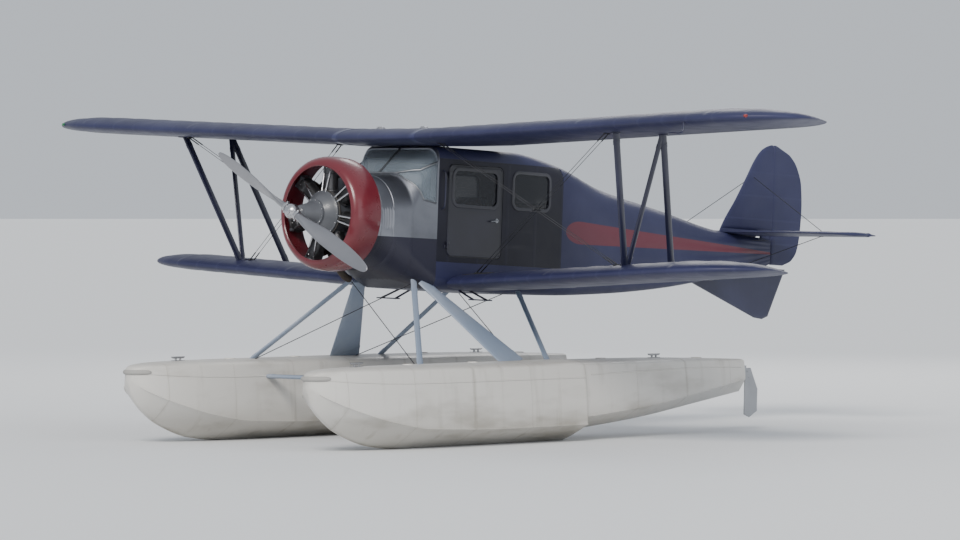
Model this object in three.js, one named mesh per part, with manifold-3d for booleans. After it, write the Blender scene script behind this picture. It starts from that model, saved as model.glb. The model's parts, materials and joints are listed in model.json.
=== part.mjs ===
// A cabin biplane on twin floats: four seats, a radial engine in a ring cowl, N-shaped interplane
// struts, wire stays and a ventral fin. Millimetres, +X forward, +Y to port, +Z up. The float keels
// stand at z = 0, and x = 0 lies midway between the float bows and the rudder's trailing edge.
import * as THREE from "three";
import { mergeVertices } from "three/addons/utils/BufferGeometryUtils.js";
import Module from "manifold-3d";

const wasm = await Module();
wasm.setup();

// Driving dimensions. A station s is measured aft of the propeller's plane, and a height w is
// measured above the thrust line, both square to the airframe, which stands nose-up on its floats.
const GAP = 0.3; // between two pieces that touch
const CLEARANCE = 5; // round a piece that moves
const HINGE_GAP = 0.8; // between a rounded nose and the lug that carries it
const RIG = THREE.MathUtils.degToRad(3); // thrust line above the keels
const THRUST_HEIGHT = 2270;
const NOSE_X = 3352; // the propeller's plane

const WALL = 20; // cabin wall
const FIREWALL = 790;
const SCREEN_FOOT = 1160;
const NOSE_SPLIT = SCREEN_FOOT + 25; // between the nose panels and the windscreen's frame
const CABIN_FRONT = 1500;
const CABIN_REAR = 3350;
const FLOOR_TOP = -420;
const ROOF_SPLIT = 600;
const STERN_POST = 7150;
const HOOP = 25; // behind the windscreen
const CABIN_WIDEST = 2600; // the sides draw in behind it
const BEYOND = 900; // past the fuselage's skin, for a cut right through it

const CHORD = 1450;
const WING_THICKNESS = 0.12;
const WING_CAMBER = 0.02;
const WING_TIP_LENGTH = 900;
const UPPER = { lead: 1075, height: 782, root: 500, tip: 5060, dihedral: 2.3 };
const CENTRE_HALF = 530;
const LOWER = { lead: 1675, height: -634, root: 400, tip: 4150, dihedral: 3.1 };
const AILERON = { hinge: 1090, from: 2700, to: 4300, rise: 19, radius: 46 };
const LOWER_AILERON_SHIFT = -900;

const STRUT_FOOT_Y = 2650;
const STRUT_HEAD_Y = 3000;
const SPAR_FRONT = 250; // behind the leading edge
const SPAR_REAR = 930;
const MAIN_STRUT = { chord: 84, thickness: 34 };
const DIAGONAL_STRUT = { chord: 64, thickness: 28 };
const STAY = { radius: 6, inner: 700, inboard: 110 }; // its inner end, and how far inboard of the strut it ends
const SPOOL = { radius: 14, half: 60 }; // where the stays cross

const PROPELLER_RADIUS = 1200;
const PROPELLER_REST = THREE.MathUtils.degToRad(62);
const HUB_RADIUS = 72;
const HUB_FRONT = -70;
const HUB_REAR = 60;
const CYLINDERS = 7;
const ENGINE_FACE = 530; // station of the cylinders
const COWL_FRONT = 345;
const COWL_REAR = 680;
const COWL_BORE = 546;
const COWL_SIDES = 48;

const TAIL_PLANE = 95; // height of the stabiliser's middle
const ELEVATOR_HINGE = 6980;
const ELEVATOR_RADIUS = 22;
const RUDDER_HINGE = 7200;
const RUDDER_RADIUS = 25;
const FIN_BASE = 10;

const FLOAT_Y = 1240;
const DECK_Z = 800;
const STEP_STATION = 2500;
const FLOAT_STERN = 5200;
const WATER_RUDDER_STATION = 5270;

const DOOR = { front: 1640, rear: 2420, low: -360, high: 550, round: 60 };
const DOOR_GLASS = { front: 1715, rear: 2345, low: 150, high: 500, round: 70 };
const REAR_GLASS = { front: 2580, rear: 3130, low: 160, high: 510, round: 70 };
const DOOR_HINGE_OUT = 14; // the hinge line lies this far outside the skin
const DOOR_GAP = 6;
const KNUCKLE = 34;
const DOOR_HINGES = [-250, 440];
const HALF_WIDTH = 525;

const AIRFRAME_BLUE = { color: 0x333a6b, roughness: 0.35, metalness: 0 };
const DARK_BLUE = { color: 0x23284f, roughness: 0.4, metalness: 0 };
const RED = { color: 0x8c2f36, roughness: 0.35, metalness: 0 };
const ALUMINIUM = { color: 0xa6a9b0, roughness: 0.35, metalness: 0.9 };
const FLOAT_WHITE = { color: 0xc9c4bb, roughness: 0.45, metalness: 0 };
const STRUT_GREY = { color: 0x8d97ab, roughness: 0.4, metalness: 0.2 };
const STEEL = { color: 0x5e6066, roughness: 0.4, metalness: 0.9 };
const GLASS = { color: 0xaab4c4, roughness: 0.05, metalness: 0, transparent: true, opacity: 0.4 };
const LEATHER = { color: 0x4a2f25, roughness: 0.7, metalness: 0 };
const BLACK = { color: 0x1c1d22, roughness: 0.6, metalness: 0 };

// Solids
function solid(geometry) {
  const bare = geometry.clone();
  bare.deleteAttribute("normal");
  bare.deleteAttribute("uv");
  const merged = mergeVertices(bare, 1e-3);
  return new wasm.Manifold(
    new wasm.Mesh({
      numProp: 3,
      vertProperties: Float32Array.from(merged.attributes.position.array),
      triVerts: Uint32Array.from(merged.index.array),
    })
  );
}

function surface(body) {
  const mesh = body.getMesh();
  const geometry = new THREE.BufferGeometry();
  geometry.setAttribute("position", new THREE.BufferAttribute(Float32Array.from(mesh.vertProperties), 3));
  geometry.setIndex(Array.from(mesh.triVerts));
  return geometry;
}

function transformed(body, matrix) {
  return solid(surface(body).applyMatrix4(matrix));
}

function shifted(body, x, y, z) {
  return transformed(body, new THREE.Matrix4().makeTranslation(x, y, z));
}

function flipped(geometry) {
  const index = Array.from(geometry.index.array);
  for (let i = 0; i < index.length; i += 3) {
    [index[i + 1], index[i + 2]] = [index[i + 2], index[i + 1]];
  }
  const copy = geometry.clone();
  copy.setIndex(index);
  return copy;
}

function mirrored(body) {
  return solid(flipped(surface(body).applyMatrix4(new THREE.Matrix4().makeScale(1, -1, 1))));
}

function signedVolume(points, index) {
  let six = 0;
  for (let i = 0; i < index.length; i += 3) {
    const [a, b, c] = [points[index[i]], points[index[i + 1]], points[index[i + 2]]];
    six += a.dot(b.clone().cross(c));
  }
  return six / 6;
}

// A closed body through rings of points, with a flat cap on the first and the last
function loft(rings, flatten) {
  const count = rings[0].length;
  const points = rings.flat();
  const index = [];
  for (let r = 0; r + 1 < rings.length; r += 1) {
    for (let i = 0; i < count; i += 1) {
      const a = r * count + i;
      const b = r * count + ((i + 1) % count);
      index.push(a, b, b + count, a, b + count, a + count);
    }
  }
  const last = (rings.length - 1) * count;
  for (const [a, b, c] of THREE.ShapeUtils.triangulateShape(rings[0].map(flatten), [])) {
    const turned = THREE.ShapeUtils.area(rings[0].map(flatten)) < 0;
    index.push(a, turned ? b : c, turned ? c : b);
    index.push(last + a, last + (turned ? c : b), last + (turned ? b : c));
  }
  const geometry = new THREE.BufferGeometry();
  geometry.setFromPoints(points);
  geometry.setIndex(index);
  return solid(signedVolume(points, index) < 0 ? flipped(geometry) : geometry);
}

const acrossX = (p) => new THREE.Vector2(p.y, p.z);
const acrossY = (p) => new THREE.Vector2(p.x, p.z);

// A box between two stations, two sideways places and two heights
function block(s0, s1, y0, y1, w0, w1) {
  const box = new THREE.BoxGeometry(s1 - s0, y1 - y0, w1 - w0);
  box.translate(-(s0 + s1) / 2, (y0 + y1) / 2, (w0 + w1) / 2);
  return solid(box);
}

// A prism across the aircraft whose outline is given as station and height
function prism(outline, y0, y1) {
  const ring = (y) => outline.map(([s, w]) => new THREE.Vector3(-s, y, w));
  return loft([ring(y0), ring(y1)], acrossY);
}

const place = (s, y, w) => new THREE.Vector3(-s, y, w);

// A straight member from a to b, its long section axis as near to fore-and-aft as it goes; its
// chord may change towards b
function strut(a, b, chord, thickness, sides = 12, endChord = chord) {
  const outline = [];
  for (let i = 0; i < sides; i += 1) {
    const turn = (i / sides) * 2 * Math.PI;
    outline.push([Math.cos(turn) / 2, (thickness / 2) * Math.sin(turn)]);
  }
  const along = b.clone().sub(a).normalize();
  const fore = new THREE.Vector3(1, 0, 0);
  const guide = Math.abs(along.x) > 0.9 ? new THREE.Vector3(0, 0, 1) : fore;
  const wide = guide.clone().addScaledVector(along, -guide.dot(along)).normalize();
  const thin = along.clone().cross(wide);
  const ring = (end, width) =>
    outline.map(([u, v]) => end.clone().addScaledVector(wide, u * width).addScaledVector(thin, v));
  const rings = [ring(a, chord), ring(b, endChord)];
  return loft(rings, (p) => new THREE.Vector2(p.clone().sub(a).dot(wide), p.clone().sub(a).dot(thin)));
}

const rod = (a, b, radius, sides = 10) => strut(a, b, 2 * radius, 2 * radius, sides);

const joined = (bodies) => bodies.reduce((sum, body) => sum.add(body));

// Values between the rows of a table, by a cubic that keeps rising or falling as the rows do
function between(rows, at) {
  const last = rows.length - 2;
  let i = 0;
  while (i < last && at > rows[i + 1][0]) i += 1;
  const slope = (j, k) => (rows[j + 1][k] - rows[j][k]) / (rows[j + 1][0] - rows[j][0]);
  const tangent = (j, k) => {
    if (j === 0) return slope(0, k);
    if (j === rows.length - 1) return slope(j - 1, k);
    const [before, after] = [slope(j - 1, k), slope(j, k)];
    return before * after <= 0 ? 0 : (2 * before * after) / (before + after);
  };
  const width = rows[i + 1][0] - rows[i][0];
  const t = (at - rows[i][0]) / width;
  const blend = (k) =>
    rows[i][k] * (1 + 2 * t) * (1 - t) ** 2 +
    rows[i + 1][k] * t * t * (3 - 2 * t) +
    tangent(i, k) * width * t * (1 - t) ** 2 -
    tangent(i + 1, k) * width * t * t * (1 - t);
  return rows[i].map((_, k) => (k === 0 ? at : blend(k)));
}

const steps = (from, to, count) =>
  Array.from({ length: count + 1 }, (_, i) => from + ((to - from) * i) / count);

// Fuselage
// station, half width, top, bottom, radius of the top corners, radius of the bottom corners
const HULL = [
  [FIREWALL, 425, 392, -450, 385, 385],
  [SCREEN_FOOT, 500, 415, -610, 360, 300],
  [CABIN_FRONT, HALF_WIDTH, 720, -690, 120, 120],
  [CABIN_WIDEST, HALF_WIDTH, 720, -700, 120, 120],
  [CABIN_REAR, 490, 630, -690, 165, 110],
  [4200, 400, 430, -645, 240, 90],
  [5200, 290, 270, -550, 190, 70],
  [6300, 170, 92, -380, 120, 50],
  [STERN_POST, 40, 50, -230, 38, 30],
];
const CORNER_STEPS = 6;
const WINDOW_CORNER_STEPS = 4;

function hullRing(row, inset) {
  const [s, half, top, bottom, topRadius, bottomRadius] = row;
  const ring = [];
  const corner = (y, w, radius, from) => {
    for (let i = 0; i <= CORNER_STEPS; i += 1) {
      const turn = from + (i / CORNER_STEPS) * (Math.PI / 2);
      ring.push(place(s, y + radius * Math.cos(turn), w + radius * Math.sin(turn)));
    }
  };
  const high = topRadius - inset;
  const low = bottomRadius - inset;
  corner(half - topRadius, top - topRadius, high, 0);
  corner(topRadius - half, top - topRadius, high, Math.PI / 2);
  corner(bottomRadius - half, bottom + bottomRadius, low, Math.PI);
  corner(half - bottomRadius, bottom + bottomRadius, low, 1.5 * Math.PI);
  return ring;
}

// The fuselage's outer form, drawn in by an inset; a negative inset lies outside the skin
function hull(inset, from = FIREWALL, to = STERN_POST) {
  const fixed = [from, ...HULL.map((row) => row[0]).filter((s) => s > from && s < to && s <= CABIN_WIDEST)];
  const aft = steps(CABIN_WIDEST, STERN_POST, 14).filter((s) => s > Math.max(from, CABIN_WIDEST) && s < to);
  return loft([...fixed, ...aft, to].map((s) => hullRing(between(HULL, s), inset)), acrossX);
}

const skin = hull(0).subtract(hull(WALL, FIREWALL + 60, STERN_POST - 200));
const pane = hull(8).subtract(hull(14, FIREWALL + 20, STERN_POST - 100));
const outside = hull(-GAP);

const screenOutline = (margin) => [
  [NOSE_SPLIT + margin, BEYOND],
  [NOSE_SPLIT + margin, 380 + margin],
  [1310 + margin, 175 + margin],
  [CABIN_FRONT - HOOP - margin, 150 + margin],
  [CABIN_FRONT - HOOP - margin, BEYOND],
];

// A door or window on the port side: its outline with round corners, drawn in by a margin
function window({ front, rear, low, high, round }, margin) {
  const reach = round - margin;
  const corner = (s, w, from) =>
    steps(from, from + 0.5, WINDOW_CORNER_STEPS).map((turn) => [
      s + reach * Math.cos(turn * Math.PI),
      w + reach * Math.sin(turn * Math.PI),
    ]);
  const outline = [
    ...corner(rear - round, high - round, 0),
    ...corner(front + round, high - round, 0.5),
    ...corner(front + round, low + round, 1),
    ...corner(rear - round, low + round, 1.5),
  ];
  return prism(outline, 0, BEYOND);
}

// Everything between two stations and two heights
const slice = (from, to, low = -BEYOND, high = BEYOND) => block(from, to, -BEYOND, BEYOND, low, high);

// The nose panels, from the firewall to the foot of the windscreen
const noseShell = () => skin.intersect(slice(0, NOSE_SPLIT - GAP));

// The panels beside and under the windscreen, and the hoop behind it
function screenFrame() {
  const front = skin.intersect(slice(NOSE_SPLIT, CABIN_FRONT - GAP));
  return front.subtract(prism(screenOutline(0), -BEYOND, BEYOND));
}

function cabinSide() {
  const region = block(CABIN_FRONT, CABIN_REAR - GAP, 0, BEYOND, FLOOR_TOP + GAP, ROOF_SPLIT - GAP);
  const wall = skin.intersect(region).subtract(window(DOOR, -DOOR_GAP)).subtract(window(REAR_GLASS, 0));
  return joined([wall, ...DOOR_HINGES.map((w) => knuckle(w - KNUCKLE, w, DOOR.front - 40, DOOR.front - 8))]);
}

// One hinge knuckle with its leaf, on the port side
function knuckle(low, high, leafFront, leafRear) {
  const axisStation = DOOR.front - DOOR_GAP;
  const axisY = HALF_WIDTH + DOOR_HINGE_OUT;
  const barrel = rod(place(axisStation, axisY, low), place(axisStation, axisY, high), 9);
  return barrel.add(block(leafFront, leafRear, HALF_WIDTH - 1, axisY - 5, low, high));
}

function cabinDoor() {
  const panel = skin.intersect(window(DOOR, 0)).subtract(window(DOOR_GLASS, 0));
  const knuckles = DOOR_HINGES.map((w) =>
    knuckle(w + HINGE_GAP, w + KNUCKLE, DOOR.front - 3, DOOR.front + 36)
  );
  return joined([panel, ...knuckles]);
}

function cabinFloor() {
  return hull(0).intersect(slice(CABIN_FRONT, CABIN_REAR - GAP, -BEYOND, FLOOR_TOP));
}

function cabinRoof() {
  return skin.intersect(slice(CABIN_FRONT, CABIN_REAR - GAP, ROOF_SPLIT));
}

function rearFuselage() {
  const body = hull(0, CABIN_REAR, STERN_POST);
  const post = block(STERN_POST - 30, STERN_POST + 18, -14, 14, -200, FIN_BASE - GAP);
  const lug = block(STERN_POST - 10, RUDDER_HINGE, -12, 12, -190, -160);
  return body.add(post).add(lug).subtract(rudderNose(HINGE_GAP));
}

// Wings
function airfoil(chord) {
  const count = 12;
  const half = (x) =>
    5 * WING_THICKNESS *
    (0.2969 * Math.sqrt(x) - 0.126 * x - 0.3516 * x ** 2 + 0.2843 * x ** 3 - 0.1015 * x ** 4);
  const peak = 0.4;
  const camber = (x) =>
    x < peak
      ? (WING_CAMBER / peak ** 2) * (2 * peak * x - x * x)
      : (WING_CAMBER / (1 - peak) ** 2) * (1 - 2 * peak + 2 * peak * x - x * x);
  const spread = steps(0, 1, count).map((t) => (1 - Math.cos(Math.PI * t)) / 2);
  const upper = spread.toReversed().map((x) => [x * chord, (camber(x) + half(x)) * chord]);
  const lower = spread.slice(1).map((x) => [x * chord, (camber(x) - half(x)) * chord]);
  return [...upper, ...lower];
}

// One wing panel from its root outwards, leading edge along +Y, with a rounded tip
function wingPanel(span) {
  const round = (y) => {
    const u = Math.max(0, (y - (span - WING_TIP_LENGTH)) / WING_TIP_LENGTH);
    return Math.sqrt(Math.max(0.03, 1 - u * u));
  };
  const tips = [0.35, 0.6, 0.78, 0.9, 0.97, 1].map((u) => span - WING_TIP_LENGTH * (1 - u));
  const rings = [0, span - WING_TIP_LENGTH, ...tips].map((y) => {
    const fullness = round(y);
    const ahead = 0.42 * CHORD * (1 - fullness);
    return airfoil(CHORD * fullness).map(([x, z]) => new THREE.Vector3(-x - ahead, y, z));
  });
  return loft(rings, acrossY);
}

// A panel parted at an aileron: a round nose turns in a hollow, carried by three lugs
function withAileron(panel, from, to) {
  const { hinge, rise, radius } = AILERON;
  const behind = (margin) => block(hinge, 2 * CHORD, from - margin, to + margin, -300, 300);
  const nose = (more, margin) =>
    rod(place(hinge, from - margin, rise), place(hinge, to + margin, rise), radius + more, 20);
  const aileron = panel.intersect(behind(0)).add(nose(0, 0));
  const cut = panel.subtract(behind(DOOR_GAP)).subtract(nose(CLEARANCE, DOOR_GAP));
  const lugs = [0.08, 0.5, 0.92].map((part) => {
    const y = from + part * (to - from);
    const height = radius * 0.6;
    const lug = block(hinge - radius - 14, hinge - 12, y - 14, y + 14, rise - height, rise + height);
    return lug.subtract(nose(HINGE_GAP, 0));
  });
  return { wing: joined([cut, ...lugs]), aileron };
}

// Tail
// A fixed tail surface: rows of span and leading edge, up to the hinge line, both in stations
function vane(rows, rear, halfThickness, axisOf) {
  const rings = rows.map(([at, lead]) => {
    const length = rear - lead;
    const half = halfThickness * Math.min(1, 0.35 + length / 500);
    const outline = [[0, 0], [0.04, 0.45], [0.16, 0.8], [0.4, 1], [1, 0.94]];
    const lower = outline.slice(1).toReversed().map(([x, t]) => [x, -t]);
    return [...outline, ...lower].map(([x, t]) => axisOf(lead + x * length, at, t * half));
  });
  return rings;
}

// A moving tail surface: a round nose on the hinge line, tapering to its trailing edge
function flap(rows, hinge, radius, axisOf) {
  return rows.map(([at, trailing]) => {
    const nose = steps(0.5, 1.5, 8).map((turn) => [
      hinge + radius * Math.cos(turn * Math.PI),
      radius * Math.sin(turn * Math.PI),
    ]);
    return [...nose, [trailing, -3], [trailing, 3]].map(([s, t]) => axisOf(s, at, t));
  });
}

const flatOf = (s, y, t) => place(s, y, TAIL_PLANE + t);
const uprightOf = (s, w, t) => place(s, t, w);
const elevatorNose = (more, reach) =>
  rod(place(ELEVATOR_HINGE, -reach, TAIL_PLANE), place(ELEVATOR_HINGE, reach, TAIL_PLANE),
    ELEVATOR_RADIUS + more, 20);
const rudderNose = (more) =>
  rod(place(RUDDER_HINGE, 0, -400), place(RUDDER_HINGE, 0, 1200), RUDDER_RADIUS + more, 20);

function mirroredRows(rows) {
  return [...rows.toReversed().map(([at, s]) => [-at, s]), ...rows.filter(([at]) => at > 0)];
}

function stabiliser() {
  const half = [[0, 6350], [700, 6365], [1150, 6430], [1350, 6520], [1470, 6640], [1530, 6800]];
  const body = loft(vane(mirroredRows(half), ELEVATOR_HINGE - 1, 24, flatOf), acrossY);
  const cut = body.subtract(elevatorNose(CLEARANCE, 2000)).subtract(outside);
  const lugs = [-1250, -450, 450, 1250].map((y) =>
    block(ELEVATOR_HINGE - 45, ELEVATOR_HINGE - 6, y - 14, y + 14, TAIL_PLANE - 12, TAIL_PLANE + 12)
      .subtract(elevatorNose(HINGE_GAP, 2000))
  );
  return joined([cut, ...lugs]);
}

function elevator() {
  const half = [
    [75, 7130], [170, 7330], [900, 7350], [1200, 7325], [1380, 7250], [1490, 7140], [1530, 7050],
  ];
  const port = loft(flap(half, ELEVATOR_HINGE, ELEVATOR_RADIUS, flatOf), acrossY);
  const tube = elevatorNose(0, 120);
  return joined([port, mirrored(port), tube]);
}

function fin(stabiliserBody) {
  const rows = [[FIN_BASE, 6290], [200, 6400], [450, 6590], [700, 6760], [880, 6880], [990, 6985], [1045, 7090]];
  const rings = vane(rows, RUDDER_HINGE - 1, 27, uprightOf);
  const body = loft(rings, (p) => new THREE.Vector2(p.x, p.y));
  const below = block(6000, ELEVATOR_HINGE + 34, -100, 100, -100, TAIL_PLANE + 2 * GAP);
  const cut = body
    .subtract(below)
    .subtract(shifted(stabiliserBody, 0, 0, GAP))
    .subtract(elevatorNose(CLEARANCE + 2, 100))
    .subtract(outside)
    .subtract(rudderNose(CLEARANCE));
  const lugs = [260, 850].map((w) =>
    block(RUDDER_HINGE - 50, RUDDER_HINGE - 6, -13, 13, w, w + 30).subtract(rudderNose(HINGE_GAP))
  );
  return joined([cut, ...lugs]);
}

function rudder() {
  const rows = [
    [-225, 7400], [-170, 7540], [-60, 7630], [150, 7675], [400, 7690],
    [650, 7670], [840, 7590], [960, 7470], [1020, 7330],
  ];
  return loft(flap(rows, RUDDER_HINGE, RUDDER_RADIUS, uprightOf), (p) => new THREE.Vector2(p.x, p.y));
}

function ventralFin() {
  const outline = [
    [5900, -300], [5900, -455], [6960, -800], [7090, -812], [7180, -780], [7440, -265],
    [7170, -265], [7135, -240], [7135, -150],
  ];
  return prism(outline, -16, 16).subtract(outside);
}

// Engine
function turned(profile, sides) {
  const lathe = new THREE.LatheGeometry(profile.map(([s, r]) => new THREE.Vector2(r, s)), sides);
  lathe.rotateZ(Math.PI / 2);
  return lathe;
}

const BARREL_FINS = 3;
const ROCKER_BOX_OUT = 48;

// The uppermost cylinder: a barrel with a few broad fins, standing for the many thin ones
function finnedBarrel() {
  const pitch = 84;
  const profile = [[0, 180], [66, 180]];
  for (let fin = 0; fin < BARREL_FINS; fin += 1) {
    const low = 225 + fin * pitch;
    profile.push([66, low], [84, low], [84, low + 52], [66, low + 52]);
  }
  profile.push([66, 480], [78, 490], [60, 545], [0, 545]);
  const barrel = new THREE.LatheGeometry(profile.map(([r, h]) => new THREE.Vector2(r, h)), 12);
  barrel.rotateX(Math.PI / 2);
  barrel.translate(-ENGINE_FACE, 0, 0);
  return solid(barrel);
}

function engine() {
  const crankcase = turned([[90, 0], [90, 40], [150, 75], [300, 120], [400, 215], [650, 215],
    [670, 150], [FIREWALL - GAP, 150], [FIREWALL - GAP, 0]], 28);
  const bodies = [solid(crankcase)];
  bodies.push(rod(place(HUB_REAR + GAP, 0, 0), place(120, 0, 0), 34, 16));
  for (let i = 0; i < CYLINDERS; i += 1) {
    const turn = (i / CYLINDERS) * 2 * Math.PI;
    const at = (s, r, side = 0) =>
      place(s, r * Math.sin(turn) + side * Math.cos(turn), r * Math.cos(turn) - side * Math.sin(turn));
    bodies.push(transformed(finnedBarrel(), new THREE.Matrix4().makeRotationX(-turn)));
    for (const side of [-ROCKER_BOX_OUT, ROCKER_BOX_OUT]) {
      bodies.push(rod(at(ENGINE_FACE - 60, 500, side), at(ENGINE_FACE + 60, 500, side), 30, 6));
      bodies.push(rod(at(ENGINE_FACE - 105, 190, side / 2), at(ENGINE_FACE - 45, 505, side), 11, 5));
    }
  }
  const bore = COWL_BORE - GAP;
  const room = turned([[0, 0], [0, bore], [FIREWALL, bore], [FIREWALL, 0]], COWL_SIDES);
  return joined(bodies).intersect(solid(room));
}

function cowl() {
  const [front, rear] = [COWL_FRONT, COWL_REAR];
  const profile = [[front + 8, 460], [front, 480], [front + 9, 508], [front + 48, 540],
    [front + 110, 557], [front + 200, 562], [rear, 553], [rear, 549], [front + 250, COWL_BORE],
    [front + 92, COWL_BORE], [front + 56, 524], [front + 22, 492], [front + 18, 472], [front + 8, 460]];
  return solid(turned(profile, COWL_SIDES));
}

// Each blade section: distance out, chord, thickness and pitch in degrees
const BLADE = [
  [45, 70, 66, 70],
  [150, 86, 62, 60],
  [300, 128, 38, 50],
  [550, 162, 23, 36],
  [800, 158, 15, 27],
  [1000, 132, 10, 22],
  [1120, 96, 8, 19],
  [1180, 58, 6, 18],
  [PROPELLER_RADIUS, 24, 5, 18],
];

function propeller() {
  const rings = BLADE.map(([out, chord, thickness, pitch]) => {
    const lean = THREE.MathUtils.degToRad(pitch);
    return steps(0, 2, 14).slice(0, -1).map((half) => {
      const along = (chord / 2) * Math.cos(half * Math.PI);
      const across = (thickness / 2) * Math.sin(half * Math.PI);
      return new THREE.Vector3(
        along * Math.sin(lean) + across * Math.cos(lean),
        along * Math.cos(lean) - across * Math.sin(lean),
        out
      );
    });
  });
  const blade = loft(rings, (p) => new THREE.Vector2(p.x, p.y));
  const other = transformed(blade, new THREE.Matrix4().makeRotationX(Math.PI));
  const hub = turned([[HUB_FRONT, 0], [HUB_FRONT, 42], [-40, 58], [-30, HUB_RADIUS], [38, HUB_RADIUS],
    [HUB_REAR, 50], [HUB_REAR, 0]], 24);
  return joined([solid(hub), blade, other]);
}

// Struts and stays of the wing cell
const dihedralOf = (wing) => THREE.MathUtils.degToRad(wing.dihedral);
const wingRise = (wing, y) => wing.height + (y - wing.root) * Math.tan(dihedralOf(wing));

function interplaneStrut(upperWing, lowerWing) {
  const head = (spar) => place(UPPER.lead + spar, STRUT_HEAD_Y, wingRise(UPPER, STRUT_HEAD_Y));
  const foot = (spar) => place(LOWER.lead + spar, STRUT_FOOT_Y, wingRise(LOWER, STRUT_FOOT_Y));
  const members = [
    strut(foot(SPAR_FRONT), head(SPAR_FRONT), MAIN_STRUT.chord, MAIN_STRUT.thickness),
    strut(foot(SPAR_REAR), head(SPAR_REAR), MAIN_STRUT.chord, MAIN_STRUT.thickness),
    strut(foot(SPAR_FRONT), head(SPAR_REAR), DIAGONAL_STRUT.chord, DIAGONAL_STRUT.thickness),
  ];
  return joined(members).subtract(shifted(upperWing, 0, 0, -GAP)).subtract(shifted(lowerWing, 0, 0, GAP));
}

function stayWires(upperWing, lowerWing) {
  const { inner, inboard, radius } = STAY;
  const low = place(LOWER.lead + SPAR_FRONT, inner, wingRise(LOWER, inner));
  const high = place(UPPER.lead + SPAR_FRONT, inner, wingRise(UPPER, inner));
  const outHigh = place(UPPER.lead + SPAR_FRONT, STRUT_HEAD_Y - inboard, wingRise(UPPER, STRUT_HEAD_Y));
  const outLow = place(LOWER.lead + SPAR_FRONT, STRUT_FOOT_Y - inboard, wingRise(LOWER, STRUT_FOOT_Y));
  const part = crossing(low, outHigh, high, outLow);
  const half = place(0, 0, SPOOL.half);
  const spool = rod(part.clone().sub(half), part.clone().add(half), SPOOL.radius, 8);
  const wires = joined([rod(low, outHigh, radius, 6), rod(high, outLow, radius, 6), spool]);
  return wires.subtract(shifted(upperWing, 0, 0, -GAP)).subtract(shifted(lowerWing, 0, 0, GAP));
}

// The point midway between two lines where they pass each other
function crossing(a, b, c, d) {
  const u = b.clone().sub(a);
  const v = d.clone().sub(c);
  const between = c.clone().sub(a);
  const [uu, uv, vv] = [u.dot(u), u.dot(v), v.dot(v)];
  const det = uu * vv - uv * uv;
  const p = (u.dot(between) * vv - v.dot(between) * uv) / det;
  const q = (u.dot(between) * uv - v.dot(between) * uu) / det;
  return a.clone().addScaledVector(u, p).add(c.clone().addScaledVector(v, q)).multiplyScalar(0.5);
}

// Floats, in the frame of the keels: stations are level here, heights are above the keels
// station, keel height, half keel, chine height, half beam, deck height, half deck
const FOREBODY = [
  [-1000, 560, 6, 612, 40, 728, 34],
  [-960, 462, 12, 562, 110, 756, 92],
  [-850, 330, 20, 492, 195, 778, 162],
  [-600, 172, 28, 392, 280, 792, 236],
  [-200, 45, 30, 278, 344, 799, 298],
  [300, 0, 30, 200, 372, DECK_Z, 330],
  [1400, 0, 30, 168, 380, DECK_Z, 340],
  [STEP_STATION, 0, 30, 168, 375, DECK_Z, 332],
];
const AFTERBODY = [
  [STEP_STATION - 200, 70, 25, 225, 360, DECK_Z - 2, 325],
  [3600, 185, 25, 335, 315, 788, 282],
  [4600, 320, 20, 462, 215, 762, 186],
  [FLOAT_STERN, 405, 16, 535, 105, 738, 86],
];

function floatRing([s, keel, halfKeel, chine, halfBeam, deck, halfDeck]) {
  const half = [
    [halfKeel, keel],
    [halfBeam, chine],
    [halfBeam * 0.99, (chine + deck) / 2],
    [halfDeck, deck - 0.14 * halfDeck - 12],
    [0.82 * halfDeck, deck - 0.05 * halfDeck],
    [0.5 * halfDeck, deck],
  ];
  const other = half.toReversed().map(([y, z]) => [-y, z]);
  return [...half, ...other].map(([y, z]) => place(s, y, z));
}

function floatHull() {
  const stations = [-1000, -960, -910, -850, -730, -600, -400, -200, 50, 300, 1400, STEP_STATION];
  const front = loft(stations.map((s) => floatRing(between(FOREBODY, s))), acrossX);
  const rear = steps(STEP_STATION - 200, FLOAT_STERN, 8);
  return front.add(loft(rear.map((s) => floatRing(between(AFTERBODY, s))), acrossX));
}

const WATER_RUDDER_RADIUS = 16;
const WATER_RUDDER_LOW = 560;
const WATER_RUDDER_HIGH = 680;

function floatBody() {
  const cleats = [-350, 3900].map((s) => {
    const deck = between(s < 0 ? FOREBODY : AFTERBODY, s)[5];
    return block(s - 85, s + 85, -22, 22, deck - 10, deck + 42);
  });
  const lug = (low) => block(FLOAT_STERN - 10, WATER_RUDDER_STATION + 20, -18, 18, low, low + 16);
  return joined([
    floatHull(),
    ...cleats,
    lug(WATER_RUDDER_LOW - 16 - HINGE_GAP),
    lug(WATER_RUDDER_HIGH + HINGE_GAP),
  ]);
}

function waterRudder() {
  const s = WATER_RUDDER_STATION;
  const stock = rod(place(s, 0, WATER_RUDDER_LOW), place(s, 0, WATER_RUDDER_HIGH), WATER_RUDDER_RADIUS, 16);
  const behind = [[s + 4, 575], [s + 60, 575], [s + 60, 665], [s + 4, 665]];
  const blade = [[s + 40, 640], [s + 28, 160], [s + 110, 130], [s + 230, 190], [s + 240, 420], [s + 130, 640]];
  return joined([stock, prism(behind, -9, 9), prism(blade, -7, 7)]);
}

// Float struts, drawn in the airframe's frame
const rigMatrix = new THREE.Matrix4()
  .makeRotationY(-RIG)
  .premultiply(new THREE.Matrix4().makeTranslation(NOSE_X, 0, THRUST_HEIGHT));
const keelMatrix = new THREE.Matrix4().makeTranslation(NOSE_X, 0, 0);
const keelToAirframe = rigMatrix.clone().invert().multiply(keelMatrix);
const onFloat = (s, y, z) => place(s, y, z).applyMatrix4(keelToAirframe);

const HEAD_Y = 430;
const HEAD_W = -620;
const FOOT_Z = DECK_Z - 40;
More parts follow.
